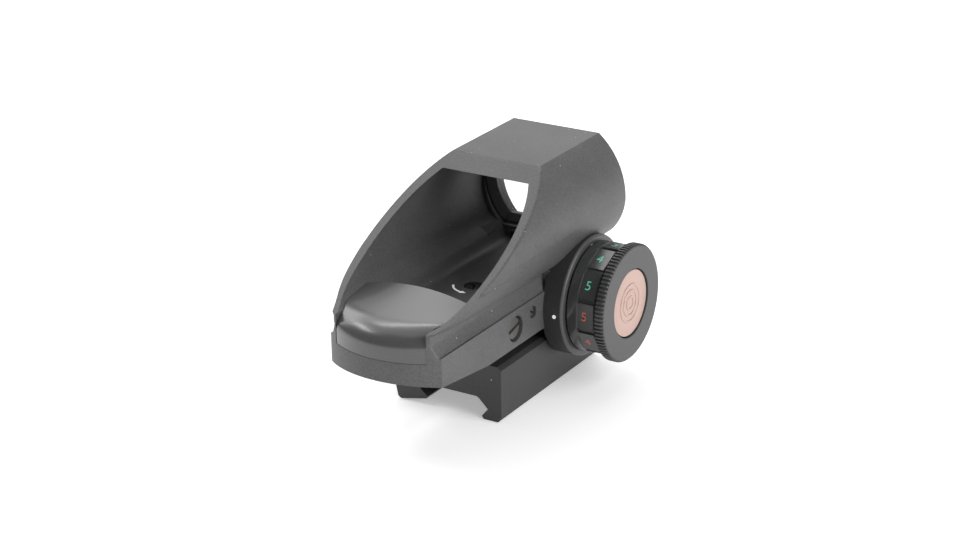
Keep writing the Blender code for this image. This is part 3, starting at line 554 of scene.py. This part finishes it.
def bore_outline(inset):
    radius = BORE_R - inset
    start = math.degrees(math.asin((AXIS_Z - BORE_KNEE_Z) / BORE_R))
    high = math.degrees(math.asin(BORE_TOP / radius))
    right = arc((0.0, AXIS_Z), radius, -start, high, 36)
    return mirrored([(x - inset, z + inset) for x, z in smoothed(BORE_FOOT)] + right)


def waist_outline():
    return mirrored([(WAIST[0][0], LEDGE_Z - 1.0), *smoothed(WAIST)])


def leaning_cone(rear_size, front_size, rear, front, count=48):
    """A flat-topped cone along the lens's leaning axis; sizes are (radius, half height)."""
    bm = loft([[Vector((x, y, z)) for x, z in flat_circle(0.0, *size, count)]
               for size, y in ((rear_size, rear), (front_size, front))])
    lean = Matrix.Translation((0.0, LENS_Y, LENS_Z)) @ Matrix.Rotation(LENS_LEAN, 4, "X")
    bmesh.ops.transform(bm, matrix=lean, verts=bm.verts)
    return bm


def leaning_disc(radius, half_height, rear, front):
    return leaning_cone((radius, half_height), (radius, half_height), rear, front)


def build_housing(look):
    """Hood, waist, base, pedestal and dial boss as one piece."""
    rear = REAR_Y - PAST
    past_rear = REAR_Y - 2 * PAST
    dial = (DIAL_Y, DIAL_Z)
    base = [(FRONT_Y, BASE_Z), (FRONT_Y, LEDGE_Z), (rear, LEDGE_Z), (rear, LIFT_END_Z), (LIFT_Y, BASE_Z)]
    pedestal = box((-PEDESTAL_X, -PEDESTAL_Y, CLAMP_TOP_Z + SEAT_GAP),
                   (PEDESTAL_X, PEDESTAL_Y, BASE_Z + 1.0))
    boss = [(BOSS_R - BOSS_SKIN, HALF_WIDTH - 0.5), (BOSS_R - BOSS_SKIN, BOSS_X - BOSS_SKIN)]
    web = box((WAIST[-1][0] - 0.5, DIAL_Y - BOSS_WEB_HALF, LEDGE_Z - 0.5),
              (HALF_WIDTH, DIAL_Y + BOSS_WEB_HALF, BOSS_WEB_TOP_Z))
    mouth = flat_circle(LENS_Z, MOUTH_R, MOUTH_HALF_HEIGHT, 44)
    ring_seat = leaning_disc(FRAME_R + FRAME_SEAT, FRAME_HALF_HEIGHT + FRAME_SEAT,
                             -12.0, FRAME_FRONT + FRAME_SEAT)
    steps = [
        ("UNION", prism("X", base, -HALF_WIDTH, HALF_WIDTH)),
        ("UNION", prism("Y", waist_outline(), FRONT_Y - 0.4, rear)),
        ("UNION", pedestal),
        ("UNION", turned("X", dial, boss, 128)),
        ("UNION", web),
        ("INTERSECT", prism("Z", plan_outline(), -1.0, 70.0)),
        ("DIFFERENCE", prism("X", rim_outline(), -30.0, 30.0)),
        ("DIFFERENCE", narrowed_loft(bore_outline(0.0), BORE_END_Y, past_rear)),
        ("DIFFERENCE", prism("Y", mouth, 10.0, FRONT_Y + PAST)),
        ("DIFFERENCE", ring_seat),
        ("DIFFERENCE", box((-WINDOW_X, past_rear, WINDOW_Z), (WINDOW_X, WINDOW_FRONT_Y, 45.0))),
        ("DIFFERENCE", cylinder("X", dial, SWITCH_R, SWITCH_FLOOR_X, 24.0)),
        ("DIFFERENCE", cylinder("Z", (0.0, ELEVATION_Y), ELEVATION_WELL_R, 21.5, 25.0)),
        ("DIFFERENCE", cylinder("X", (WINDAGE_Y, WINDAGE_Z), WINDAGE_RECESS_R, 13.6, 17.0)),
        ("DIFFERENCE", cylinder("X", (LOCK_Y, LOCK_Z), LOCK_R, 11.5, 17.0, 40)),
    ]
    piece("hood_and_base", narrowed_loft(hood_outline(), FRONT_Y, rear), look, "sight", "anodised_black",
          ["housing"], steps, edge=HOUSING_EDGE, worn=lambda e: on_outer_rim(e) or on_tail_corner(e))


def build_collar(shade_painted_wall_look, rim_look):
    """The boss wall round the dial, darkened as painted shade, and the bright rounded rim at its end."""
    centre = (DIAL_Y, DIAL_Z)
    rim = []
    for step in range(5):
        turn = math.radians(22.5 * step)
        rim.append((BOSS_R - BOSS_CHAMFER * (1.0 - math.cos(turn)),
                    BOSS_X - BOSS_CHAMFER * (1.0 - math.sin(turn))))
    wall = [(BOSS_R, HALF_WIDTH - 0.3), (BOSS_R, rim[0][1])]
    for name, profile, look in (("boss_collar", wall, shade_painted_wall_look), ("boss_rim", rim, rim_look)):
        inner = cylinder("X", centre, BOSS_R - BOSS_WALL, 10.0, 24.0, 96)
        hood = narrowed_loft(hood_outline(), FRONT_Y, REAR_Y)
        piece(name, turned("X", centre, profile, 160), look, "sight", "anodised_black", (),
              [("DIFFERENCE", inner), ("DIFFERENCE", hood)], smooth=30.0)


# ---------------------------------------------------------------- lamp cover

def cover_top(x, y):
    share = (y - REAR_Y) / (COVER_FRONT_Y - REAR_Y)
    crown = COVER_CROWN * share * (x / WINDOW_X) ** 2
    return COVER_REAR_Z + (COVER_FRONT_Z - COVER_REAR_Z) * share - crown


def cover_block():
    """The cover before it is fitted: a curved rear wall, a rounded corner and a crowned top."""
    low = WINDOW_Z + 0.03
    rear_r = PLAN_R - 0.1
    half = COVER_ACROSS // 2
    rings = []
    for i in range(COVER_ACROSS + 1):
        x = COVER_HALF_X * (i / half - 1.0)
        rear = REAR_Y + PLAN_R - math.sqrt(rear_r ** 2 - x ** 2)
        ring = [Vector((x, rear, low))]
        for step in range(COVER_ROUND_STEPS + 1):
            turn = math.radians(90.0 * step / COVER_ROUND_STEPS)
            y = rear + COVER_RUN * (1.0 - math.cos(turn))
            ring.append(Vector((x, y, cover_top(x, y) - COVER_ROUND * (1.0 - math.sin(turn)))))
        for step in range(1, COVER_FLAT_STEPS + 1):
            y = rear + COVER_RUN + (COVER_FRONT_Y - rear - COVER_RUN) * step / COVER_FLAT_STEPS
            ring.append(Vector((x, y, cover_top(x, y))))
        ring.append(Vector((x, COVER_FRONT_Y, low)))
        rings.append(ring)
    return loft(rings)


def build_cover(look):
    past_rear = REAR_Y - 2 * PAST
    half_x = WINDOW_X - 0.05
    in_bore = helper("cover_fit", narrowed_loft(bore_outline(COVER_GAP), WINDOW_FRONT_Y + 3.0, past_rear))
    in_window = box((-half_x, past_rear, WINDOW_Z + 0.02), (half_x, WINDOW_FRONT_Y - 0.3, COVER_FIT_TOP_Z))
    fitted = bmesh.new()
    fitted.from_mesh(combine(in_bore, [("UNION", in_window)]))
    bmesh.ops.scale(fitted, vec=(1000, 1000, 1000), verts=fitted.verts)
    piece("cover_shell", cover_block(), look, "sight", "gloss_black_plastic", ["lamp_cover"],
          [("INTERSECT", fitted)], edge=COVER_EDGE, segments=5)


# ---------------------------------------------------------------- dial, cap and inlay

def ring_points(radii, x):
    """One closed ring about the dial's axis; radii are (angle, radius)."""
    return [Vector((x, DIAL_Y + r * math.cos(math.radians(a)), DIAL_Z + r * math.sin(math.radians(a))))
            for a, r in radii]


def plain_ring(x, radius, count, start=0.0):
    return ring_points([(start + 360.0 * i / count, radius) for i in range(count)], x)


def facet_angle(step):
    """Middle of a numbered facet, in degrees from +Y towards +Z."""
    return FIRST_FACET + 360.0 * step / DIAL_STEPS


def dial_ring(x, facet, groove):
    """Facet and groove are shares, 0 to 1, of how far the drum is flattened and cut there."""
    radii = []
    for step in range(DIAL_STEPS):
        for offset in FACET_OFFSETS:
            flat = min(DIAL_R, FACET_APOTHEM / math.cos(math.radians(offset)))
            r = DIAL_R + (flat - DIAL_R) * facet
            if abs(offset) > GROOVE_FROM:
                r -= GROOVE_DEPTH * groove
            radii.append((facet_angle(step) + offset, r))
    return ring_points(radii, x)


def drum_ring(x, radius):
    """A plain ring with as many points as a dial_ring."""
    return plain_ring(x, radius, DIAL_STEPS * len(FACET_OFFSETS), facet_angle(0))


def shrunk(ring, by):
    """The same ring drawn in towards the axis."""
    made = []
    for point in ring:
        out = Vector((0.0, point.y - DIAL_Y, point.z - DIAL_Z))
        made.append(point - out.normalized() * by)
    return made


def build_dial(look):
    """The hollow drum: a neck in the boss, a plain band, then numbered facets with grooves between them."""
    flange = DRUM_FLANGE_X
    end = dial_ring(DIAL_END_X - DRUM_END_ROUND, 1.0, 1.0)
    rings = [
        drum_ring(DRUM_FOOT_X, DRUM_NECK_R),
        drum_ring(flange, DRUM_NECK_R),
        drum_ring(flange, DIAL_R - 0.35),
        drum_ring(flange + 0.12, DIAL_R - 0.1),
        drum_ring(flange + 0.35, DIAL_R),
        dial_ring(FACET_START_X, 0.0, 0.0),
        dial_ring(FACET_START_X + 0.1, 0.8, 0.0),
        dial_ring(FACET_START_X + 0.3, 1.0, 0.0),
        dial_ring(FACET_START_X + 0.4, 1.0, 1.0),
        end,
        shrunk([point + Vector((DRUM_END_ROUND, 0, 0)) for point in end], DRUM_END_ROUND),
        drum_ring(DIAL_END_X, DRUM_WELL_R),
        drum_ring(DRUM_WELL_X, DRUM_WELL_R),
        drum_ring(DRUM_WELL_X, DRUM_HOLE_R),
        drum_ring(DRUM_FOOT_X, DRUM_HOLE_R),
    ]
    piece("dial_drum", loft(rings, back_to_first=True), look, "dial", "gloss_black_plastic",
          ["brightness_dial"], smooth=24.0)


def number_mesh(text):
    """One character lying flat about the origin, at its final height."""
    curve = bpy.data.curves.new("number", "FONT")
    curve.body = text
    curve.size = 4.0
    curve.extrude = NUMBER_THICK
    curve.resolution_u = 6
    holder = bpy.data.objects.new("number", curve)
    bpy.context.scene.collection.objects.link(holder)
    graph = bpy.context.evaluated_depsgraph_get()
    mesh = bpy.data.meshes.new_from_object(holder.evaluated_get(graph))
    bpy.data.objects.remove(holder)
    low = Vector([min(v.co[k] for v in mesh.vertices) for k in range(3)])
    high = Vector([max(v.co[k] for v in mesh.vertices) for k in range(3)])
    size = Matrix.Scale(NUMBER_HEIGHT / (high.y - low.y), 4)
    mesh.transform(size @ Matrix.Translation(-(low + high) / 2))
    return mesh


def build_numbers(paints):
    """Painted numbers on the facets: one to five green, then five to one red, and one facet left plain."""
    for colour, marks in NUMBERS.items():
        whole = bmesh.new()
        for text, step in marks:
            mesh = number_mesh(text)
            angle = math.radians(facet_angle(step))
            out = Vector((0.0, math.cos(angle), math.sin(angle)))
            right = Vector((1.0, 0.0, 0.0))
            turn = Matrix((right, out.cross(right), out)).transposed().to_4x4()
            centre = Vector((NUMBER_X, DIAL_Y, DIAL_Z)) + out * (FACET_APOTHEM + NUMBER_PROUD)
            mesh.transform(Matrix.Translation(centre) @ turn)
            whole.from_mesh(mesh)
        piece(f"numbers_{colour}", whole, paints[colour], "dial", "white_paint")


def knurled_ring(x, radius):
    """A ring cut by straight knurling."""
    radii = []
    for tooth in range(KNURLS):
        start = 360.0 * tooth / KNURLS
        for share, cut_share in KNURL_CUT:
            radii.append((start + share * 360.0 / KNURLS, radius - KNURL_DEPTH * cut_share))
    return ring_points(radii, x)


def ring_relief(outer):
    """A faint raised ring on the inlay's face."""
    inner = outer - RELIEF_WIDTH
    sunk, raised = INLAY_FACE_X - RELIEF_SINK, INLAY_FACE_X + RELIEF
    profile = [(outer, sunk), (outer - RELIEF_SLOPE, raised), (inner + RELIEF_SLOPE, raised), (inner, sunk)]
    return loft([plain_ring(x, radius, 96) for radius, x in profile], back_to_first=True)


def build_cap(look, copper):
    """The knurled cap with its hollow neck inside the drum, and the copper inlay in its face."""
    spigot = [(28.9, 10.4), (26.6, 10.4), (26.4, 10.6), (26.4, 11.4), (26.6, 11.6), (CAP_START_X, 11.6),
              (CAP_START_X, CAP_R - 0.75)]
    grip = [(29.42, CAP_R - 0.4), (29.6, CAP_R), (31.35, CAP_R), (31.55, CAP_R - 0.12)]
    lip = [(31.78, CAP_R - 0.42), (31.87, CAP_R - 0.6), (CAP_END_X, CAP_R - 0.85),
           (CAP_END_X, INLAY_R + 0.42), (CAP_END_X - 0.12, INLAY_R + 0.3), (30.8, INLAY_R + 0.3)]
    count = KNURLS * len(KNURL_CUT)
    rings = [plain_ring(x, radius, count) for x, radius in spigot]
    rings += [knurled_ring(x, radius) for x, radius in grip]
    rings += [plain_ring(x, radius, count) for x, radius in lip]
    piece("cap_knurled", loft(rings), look, "cap", "satin_grey_cap", ["battery_cap"], smooth=35.0)
    face = INLAY_FACE_X
    profile = [(INLAY_R, INLAY_FOOT_X), (INLAY_R, face - 0.1), (INLAY_R - 0.1, face), (7.5, face),
               (7.4, face + 0.05), (7.1, face + 0.05), (7.0, face), (0.02, face)]
    disc = turned("X", (DIAL_Y, DIAL_Z), profile, 128)
    raised = [("UNION", ring_relief(outer)) for outer in RELIEF_RINGS]
    piece("cap_disc", disc, copper, "cap", "copper_plate", ["cap_inlay"], raised, smooth=30.0)


# ---------------------------------------------------------------- screws and marks

def slotted(name, axis, centre, profile, slot_half, turn, look, body, node_name):
    """A turned screw whose end has a driver slot, turned by the given angle."""
    end = profile[-1][1]
    tool = box((-slot_half, -SLOT_REACH, -SLOT_DEPTH), (slot_half, SLOT_REACH, PAST))
    along = {"X": Vector((1, 0, 0)), "Z": Vector((0, 0, 1))}[axis]
    place = Matrix.Translation(to_axis(axis, centre, end)) @ Matrix.Rotation(math.radians(turn), 4, along)
    if axis == "X":
        place = place @ Matrix.Rotation(math.radians(90.0), 4, "Y")
    bmesh.ops.transform(tool, matrix=place, verts=tool.verts)
    piece(name, turned(axis, centre, profile, 64), look, body, "blackened_steel", [node_name],
          [("DIFFERENCE", tool)], edge=SCREW_EDGE)


def build_screws(dark_steel, worn_steel):
    slotted("elevation_head", "Z", (0.0, ELEVATION_Y), ELEVATION_PROFILE, 0.35, 28.0,
            dark_steel, "elevation", "elevation_screw")
    slotted("windage_head", "X", (WINDAGE_Y, WINDAGE_Z), WINDAGE_PROFILE, 0.42, 14.0,
            worn_steel, "windage", "windage_screw")
    slotted("lock_head", "X", (LOCK_Y, LOCK_Z), LOCK_PROFILE, 0.25, -30.0,
            worn_steel, "lock", "lock_screw")


def build_arrow(paint):
    """A painted curved arrow on the floor: an arc band that ends in a triangle."""
    centre = (0.0, ELEVATION_Y)
    z = FLOOR_Z + 0.02
    inner = arc(centre, ARROW_R - ARROW_HALF_WIDTH, ARROW_START, ARROW_END, 24)
    outer = arc(centre, ARROW_R + ARROW_HALF_WIDTH, ARROW_START, ARROW_END, 24)
    tip = on_circle(centre, ARROW_R, ARROW_END + ARROW_TIP_TURN)
    barb_in = on_circle(centre, ARROW_R - ARROW_BARB, ARROW_END)
    barb_out = on_circle(centre, ARROW_R + ARROW_BARB, ARROW_END)
    outline = [*inner, barb_in, tip, barb_out, *reversed(outer)]
    piece("elevation_arrow", prism("Z", outline, z - 0.05, z + 0.02), paint, "sight", "white_paint")


# ---------------------------------------------------------------- clamp

def pivot_hole():
    return cylinder("Y", (PLATE_PIVOT_X, PLATE_PIVOT_Z), PIVOT_HOLE_R, -30.0, 30.0, 40)


def build_clamp_block(look):
    """The block with the fixed jaw, and an ear at each end for the swing plate."""
    jaw = [(CLAMP_LEFT_X, 0.0), (7.5, 0.0), (8.2, -0.4), (JAW_VEE_X, JAW_VEE_Z), (JAW_TOE_X, JAW_TOE_Z),
           (9.5, JAW_FOOT_Z), (JAW_X - 1.0, JAW_FOOT_Z), (JAW_X, JAW_FOOT_Z + 1.0),
           (JAW_X, CLAMP_TOP_Z - 0.9), (JAW_X - 1.1, CLAMP_TOP_Z), (CLAMP_LEFT_X, CLAMP_TOP_Z)]
    inboard = PLATE_PIVOT_X + EAR_BEHIND_PIVOT
    ear = [(CLAMP_LEFT_X + 1.0, EAR_STEP_Z), (CLAMP_LEFT_X + 1.0, CLAMP_TOP_Z), (PLATE_X, CLAMP_TOP_Z),
           (PLATE_X, EAR_STEP_Z), (PLATE_X + 0.4, EAR_FOOT_Z), (inboard, EAR_FOOT_Z), (inboard, EAR_STEP_Z)]
    steps = [("UNION", prism("Y", ear, -CLAMP_Y, -EAR_Y)), ("UNION", prism("Y", ear, EAR_Y, CLAMP_Y)),
             ("DIFFERENCE", pivot_hole())]
    for y in (-MOUNT_SCREW_Y, MOUNT_SCREW_Y):
        steps.append(("DIFFERENCE", cylinder("Z", (0.0, y), MOUNT_HOLE_R, -1.0, 10.0)))
        steps.append(("DIFFERENCE", cylinder("Z", (0.0, y), MOUNT_HEAD_R, -1.0, MOUNT_HEAD_TOP_Z)))
    for y in (-CROSS_SCREW_Y, CROSS_SCREW_Y):
        steps.append(("DIFFERENCE", cylinder("X", (y, CROSS_SCREW_Z), CROSS_HOLE_R, -10.0, 2.0, 40)))
    piece("clamp_block", prism("Y", jaw, -CLAMP_Y, CLAMP_Y), look, "sight", "anodised_clamp", ["rail_clamp"],
          steps, edge=CLAMP_EDGE)


def build_swing_plate(look):
    """The plate with the moving jaw: a tongue on the pivot, and a long hole for each cross screw."""
    corner = arc((PLATE_X + PLATE_FOOT_R, PLATE_FOOT_Z + PLATE_FOOT_R), PLATE_FOOT_R, 180.0, 270.0, 8)
    upright = [(PLATE_X, PLATE_TOP_Z), *corner, (-9.5, PLATE_FOOT_Z), (-JAW_TOE_X, JAW_TOE_Z),
               (-JAW_VEE_X, JAW_VEE_Z), (PLATE_INNER_X, -1.0), (PLATE_INNER_X, PLATE_TOP_Z)]
    shoulder = [(PLATE_X, 2.0), (PLATE_INNER_X, 2.0), (PLATE_INNER_X, 4.2), (-12.9, 4.8), (PLATE_X, 4.8)]
    tongue = [(PLATE_PIVOT_X - PLATE_TONGUE_R, 3.0), (PLATE_PIVOT_X + PLATE_TONGUE_R, 3.0),
              *arc((PLATE_PIVOT_X, PLATE_PIVOT_Z), PLATE_TONGUE_R, 0.0, 180.0, 24)]
    middle = EAR_Y - 0.3
    steps = [("UNION", prism("Y", shoulder, -middle, middle)),
             ("UNION", prism("Y", tongue, -middle, middle)),
             ("DIFFERENCE", pivot_hole())]
    for y in (-CROSS_SCREW_Y, CROSS_SCREW_Y):
        opening = [*arc((y, 0.9), CROSS_SLOT_R, 180.0, 360.0, 16),
                   *arc((y, 2.75), CROSS_SLOT_R, 0.0, 180.0, 16)]
        steps.append(("DIFFERENCE", prism("X", opening, PLATE_X - 3.0, -6.0)))
    mesh = combine(helper("plate", prism("Y", upright, -CLAMP_Y, CLAMP_Y)), steps)
    pivot = Vector((PLATE_PIVOT_X, 0.0, PLATE_PIVOT_Z)) * MM
    lean = Matrix.Rotation(-PLATE_LEAN, 4, "Y")
    mesh.transform(Matrix.Translation(pivot) @ lean @ Matrix.Translation(-pivot))
    finish_piece("swing_plate", mesh, look, "plate", "anodised_clamp", ["clamp_plate"], edge=CLAMP_EDGE)


# ---------------------------------------------------------------- lens

def build_lens(glass, ring_look):
    flare = leaning_cone((LENS_R + FRAME_FLARE, LENS_HALF_HEIGHT + 1.5),
                         (LENS_R - 0.1, LENS_HALF_HEIGHT - 0.1),
                         FRAME_REAR - 0.1, FRAME_REAR + FRAME_FLARE)
    steps = [("DIFFERENCE", leaning_disc(LENS_R, LENS_HALF_HEIGHT, -4.0, 4.0)),
             ("DIFFERENCE", flare),
             ("DIFFERENCE", leaning_disc(LENS_R + 1.0, LENS_HALF_HEIGHT + 0.9, -0.5, 4.0))]
    ring = leaning_disc(FRAME_R + FRAME_FILL, FRAME_HALF_HEIGHT + FRAME_FILL, FRAME_REAR, FRAME_FRONT)
    piece("lens_ring", ring, ring_look, "sight", "matte_black_plastic", ["lens_frame"], steps,
          edge=FRAME_EDGE, segments=3)
    disc = leaning_disc(LENS_R + LENS_LAP, LENS_HALF_HEIGHT + 0.6, LENS_REAR, LENS_FRONT)
    piece("lens_disc", disc, glass, "sight", "coated_glass", ["lens"], edge=LENS_EDGE)


# ---------------------------------------------------------------- materials

def shader_of(made):
    return made.node_tree.nodes["Principled BSDF"]


def node(tree, kind, **inputs):
    made = tree.nodes.new(kind)
    for key, value in inputs.items():
        made.inputs[key.replace("_", " ")].default_value = value
    return made


def specked(tree, place, colour, dust):
    """The colour with pale specks in a share, dust, of the cells of a fine pattern."""
    link = tree.links.new
    cells = node(tree, "ShaderNodeTexVoronoi", Scale=SPECK_SCALE, Randomness=1.0)
    link(place.outputs["Object"], cells.inputs["Vector"])
    near = tree.nodes.new("ShaderNodeMath")
    near.operation = "LESS_THAN"
    near.inputs[1].default_value = SPECK_R
    link(cells.outputs["Distance"], near.inputs[0])
    pick = tree.nodes.new("ShaderNodeSeparateColor")
    link(cells.outputs["Color"], pick.inputs["Color"])
    chosen = tree.nodes.new("ShaderNodeMath")
    chosen.operation = "GREATER_THAN"
    chosen.inputs[1].default_value = 1.0 - dust
    link(pick.outputs["Red"], chosen.inputs[0])
    speck = tree.nodes.new("ShaderNodeMath")
    speck.operation = "MULTIPLY"
    link(near.outputs["Value"], speck.inputs[0])
    link(chosen.outputs["Value"], speck.inputs[1])
    dusty = tree.nodes.new("ShaderNodeMix")
    dusty.data_type = "RGBA"
    dusty.inputs[7].default_value = SPECK_COLOUR
    link(speck.outputs["Value"], dusty.inputs["Factor"])
    link(colour, dusty.inputs[6])
    return dusty.outputs[2]


def grainy(name, dark, light, roughness, metallic=0.0, grain_mm=0.35, bump=0.25, dust=0.0, spread=0.05,
           coat=0.0, specular=0.5):
    """A fine-grained finish: mottled colour, uneven gloss, a grain bump and a few specks of dust."""
    made = bpy.data.materials.new(name)
    made.use_nodes = True
    tree = made.node_tree
    link = tree.links.new
    shader = shader_of(made)
    shader.inputs["Metallic"].default_value = metallic
    shader.inputs["Specular IOR Level"].default_value = specular
    shader.inputs["Coat Weight"].default_value = coat
    shader.inputs["Coat Roughness"].default_value = COAT_ROUGHNESS
    place = tree.nodes.new("ShaderNodeTexCoord")
    fine = node(tree, "ShaderNodeTexNoise", Scale=1000.0 / grain_mm, Detail=3.0)
    broad = node(tree, "ShaderNodeTexNoise", Scale=BROAD_SCALE, Detail=4.0)
    for texture in (fine, broad):
        link(place.outputs["Object"], texture.inputs["Vector"])
    both = node(tree, "ShaderNodeMix", Factor=BROAD_SHARE)
    link(fine.outputs["Fac"], both.inputs["A"])
    link(broad.outputs["Fac"], both.inputs["B"])
    tones = tree.nodes.new("ShaderNodeValToRGB")
    for element, position, tone in zip(tones.color_ramp.elements, TONE_ENDS, (dark, light)):
        element.position = position
        element.color = (*tone, 1.0)
    link(both.outputs["Result"], tones.inputs["Fac"])
    colour = tones.outputs["Color"]
    if dust > 0.0:
        colour = specked(tree, place, colour, dust)
    link(colour, shader.inputs["Base Color"])
    gloss = node(tree, "ShaderNodeMapRange", To_Min=roughness - spread, To_Max=roughness + spread)
    link(both.outputs["Result"], gloss.inputs["Value"])
    link(gloss.outputs["Result"], shader.inputs["Roughness"])
    if bump > 0.0:
        raised = node(tree, "ShaderNodeBump", Strength=bump, Distance=GRAIN_HEIGHT)
        link(fine.outputs["Fac"], raised.inputs["Height"])
        link(raised.outputs["Normal"], shader.inputs["Normal"])
    return made


def glow(look, colour, strength):
    shader_of(look).inputs["Emission Color"].default_value = (*colour, 1.0)
    shader_of(look).inputs["Emission Strength"].default_value = strength


def lens_glass(name):
    """Coated glass: clear, with a faint warm cast that comes and goes across it."""
    made = grainy(name, (0.80, 0.66, 0.62), (0.88, 0.78, 0.75), 0.05, grain_mm=6.0, bump=0.0, spread=0.02,
                  specular=0.9)
    shader_of(made).inputs["Alpha"].default_value = GLASS_ALPHA
    return made


# ---------------------------------------------------------------- stage

def build_stage():
    mesh = bpy.data.meshes.new("floor")
    half = FLOOR_HALF
    z = GROUND_Z - GROUND_DROP
    corners = [(-half, -half, z), (half, -half, z), (half, half, z), (-half, half, z)]
    mesh.from_pydata(corners, [], [(0, 1, 2, 3)])
    floor = bpy.data.objects.new("floor", mesh)
    bpy.context.scene.collection.objects.link(floor)
    look = grainy("floor_paper", (0.88, 0.88, 0.88), (0.9, 0.9, 0.9), 0.8, bump=0.0, specular=0.0)
    glow(look, (1.0, 1.0, 1.0), FLOOR_GLOW)
    mesh.materials.append(look)
    world = bpy.data.worlds.new("studio")
    world.use_nodes = True
    background = world.node_tree.nodes["Background"]
    background.inputs["Color"].default_value = (1.0, 1.0, 1.0, 1.0)
    background.inputs["Strength"].default_value = WORLD_LIGHT
    bpy.context.scene.world = world
    for name, at, size, power in SOFTBOXES:
        softbox(name, at, size, power)


def softbox(name, at, size, power):
    data = bpy.data.lights.new(name, "AREA")
    data.shape = "RECTANGLE"
    data.size, data.size_y = size
    data.energy = power
    light = bpy.data.objects.new(name, data)
    light.location = at
    aim = Vector(LIGHT_AIM) - Vector(at)
    light.rotation_euler = aim.to_track_quat("-Z", "Y").to_euler()
    bpy.context.scene.collection.objects.link(light)


def build_camera():
    data = bpy.data.cameras.new("camera")
    data.lens = CAMERA_LENS
    data.sensor_width = SENSOR_WIDTH
    data.clip_start = CLIP_START
    camera = bpy.data.objects.new("camera", data)
    a, e, r = CAMERA_AZIMUTH, CAMERA_ELEVATION, CAMERA_ROLL
    back = Vector((math.sin(a) * math.cos(e), -math.cos(a) * math.cos(e), math.sin(e)))
    right = Vector((math.cos(a), math.sin(a), 0.0))
    up = back.cross(right)
    right, up = math.cos(r) * right + math.sin(r) * up, math.cos(r) * up - math.sin(r) * right
    turn = Matrix((right, up, back)).transposed()
    camera.matrix_world = Matrix.Translation(CAMERA_AT) @ turn.to_4x4()
    bpy.context.scene.collection.objects.link(camera)
    bpy.context.scene.camera = camera


def main():
    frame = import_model()
    build_camera()
    build_stage()
    bpy.context.scene.view_settings.view_transform = "Standard"
    anodised = grainy("anodised", (0.058, 0.058, 0.059), (0.1, 0.1, 0.101), 0.47,
                      grain_mm=0.4, bump=0.55, dust=0.22)
    # painted shade: the boss wall is coloured far darker than the housing to stand in for the shade of the
    # hood and dial
    painted_shade_anodised = grainy("anodised_painted_shade", (0.02, 0.02, 0.02), (0.028, 0.028, 0.028), 0.5, dust=0.02)
    bright_edge = grainy("anodised_edge", (0.055, 0.055, 0.055), (0.075, 0.075, 0.075), 0.38)
    clamp_look = grainy("anodised_clamp_look", (0.019, 0.019, 0.019), (0.034, 0.034, 0.034), 0.5,
                        bump=0.4, dust=0.03)
    gloss = grainy("gloss_plastic", (0.05, 0.05, 0.05), (0.06, 0.06, 0.06), 0.3,
                   bump=0.015, dust=0.06, coat=0.7)
    drum = grainy("drum_plastic", (0.036, 0.038, 0.037), (0.046, 0.049, 0.047), 0.24, bump=0.03)
    satin = grainy("cap_satin", (0.042, 0.042, 0.043), (0.052, 0.052, 0.053), 0.42)
    matte = grainy("matte_plastic_look", (0.02, 0.02, 0.02), (0.026, 0.026, 0.026), 0.55)
    frame_look = grainy("lens_frame_look", (0.055, 0.055, 0.056), (0.07, 0.07, 0.071), 0.5)
    rubber = grainy("rubber_look", (0.012, 0.012, 0.012), (0.018, 0.018, 0.018), 0.8)
    dark_steel = grainy("dark_steel", (0.05, 0.05, 0.05), (0.07, 0.07, 0.07), 0.35, 0.7)
    worn_steel = grainy("worn_steel", (0.09, 0.088, 0.08), (0.12, 0.115, 0.1), 0.35, 0.3)
    steel = grainy("steel", (0.5, 0.5, 0.5), (0.6, 0.6, 0.6), 0.3, 1.0)
    copper = grainy("copper", (0.47, 0.325, 0.28), (0.53, 0.375, 0.325), 0.38, 0.6)
    brass = grainy("brass_look", (0.65, 0.48, 0.2), (0.75, 0.57, 0.27), 0.35, 1.0)
    nickel = grainy("nickel", (0.55, 0.54, 0.5), (0.64, 0.63, 0.6), 0.25, 1.0)
    board = grainy("board", (0.02, 0.14, 0.06), (0.03, 0.19, 0.09), 0.5)
    red = grainy("red_lamp", (0.45, 0.01, 0.01), (0.6, 0.03, 0.02), 0.15)
    white = grainy("white_paint_painted_light", (0.82, 0.82, 0.8), (0.9, 0.9, 0.88), 0.5)
    # painted light: the white marks glow faintly though they are no lamp
    glow(white, (1.0, 1.0, 0.98), PAINT_PAINTED_LIGHT)
    glass = lens_glass("lens_coating")
    looks = {"anodised_black": anodised, "anodised_clamp": clamp_look, "gloss_black_plastic": gloss,
             "satin_grey_cap": satin, "matte_black_plastic": matte, "coated_glass": glass,
             "clear_plastic": glass, "black_rubber": rubber, "blackened_steel": dark_steel,
             "bright_steel": steel, "copper_plate": copper, "brass": brass, "nickel_plate": nickel,
             "board_green": board, "red_epoxy": red, "white_paint": white}
    slots = {row["node"]: row["material_slot"] for row in frame["record"]["subparts"]}
    for name, obj in frame["nodes"].items():
        obj.data.materials.clear()
        obj.data.materials.append(looks[slots[name]])
    green_paint = grainy("green_paint", (0.12, 0.62, 0.45), (0.16, 0.72, 0.55), 0.4)
    red_paint = grainy("red_paint", (0.55, 0.07, 0.05), (0.68, 0.12, 0.09), 0.4)
    build_housing(anodised)
    build_collar(painted_shade_anodised, bright_edge)
    build_cover(gloss)
    build_dial(drum)
    build_numbers({"green": green_paint, "red": red_paint})
    build_cap(satin, copper)
    build_screws(dark_steel, worn_steel)
    build_arrow(white)
    build_clamp_block(clamp_look)
    build_swing_plate(clamp_look)
    build_lens(glass, frame_look)


main()
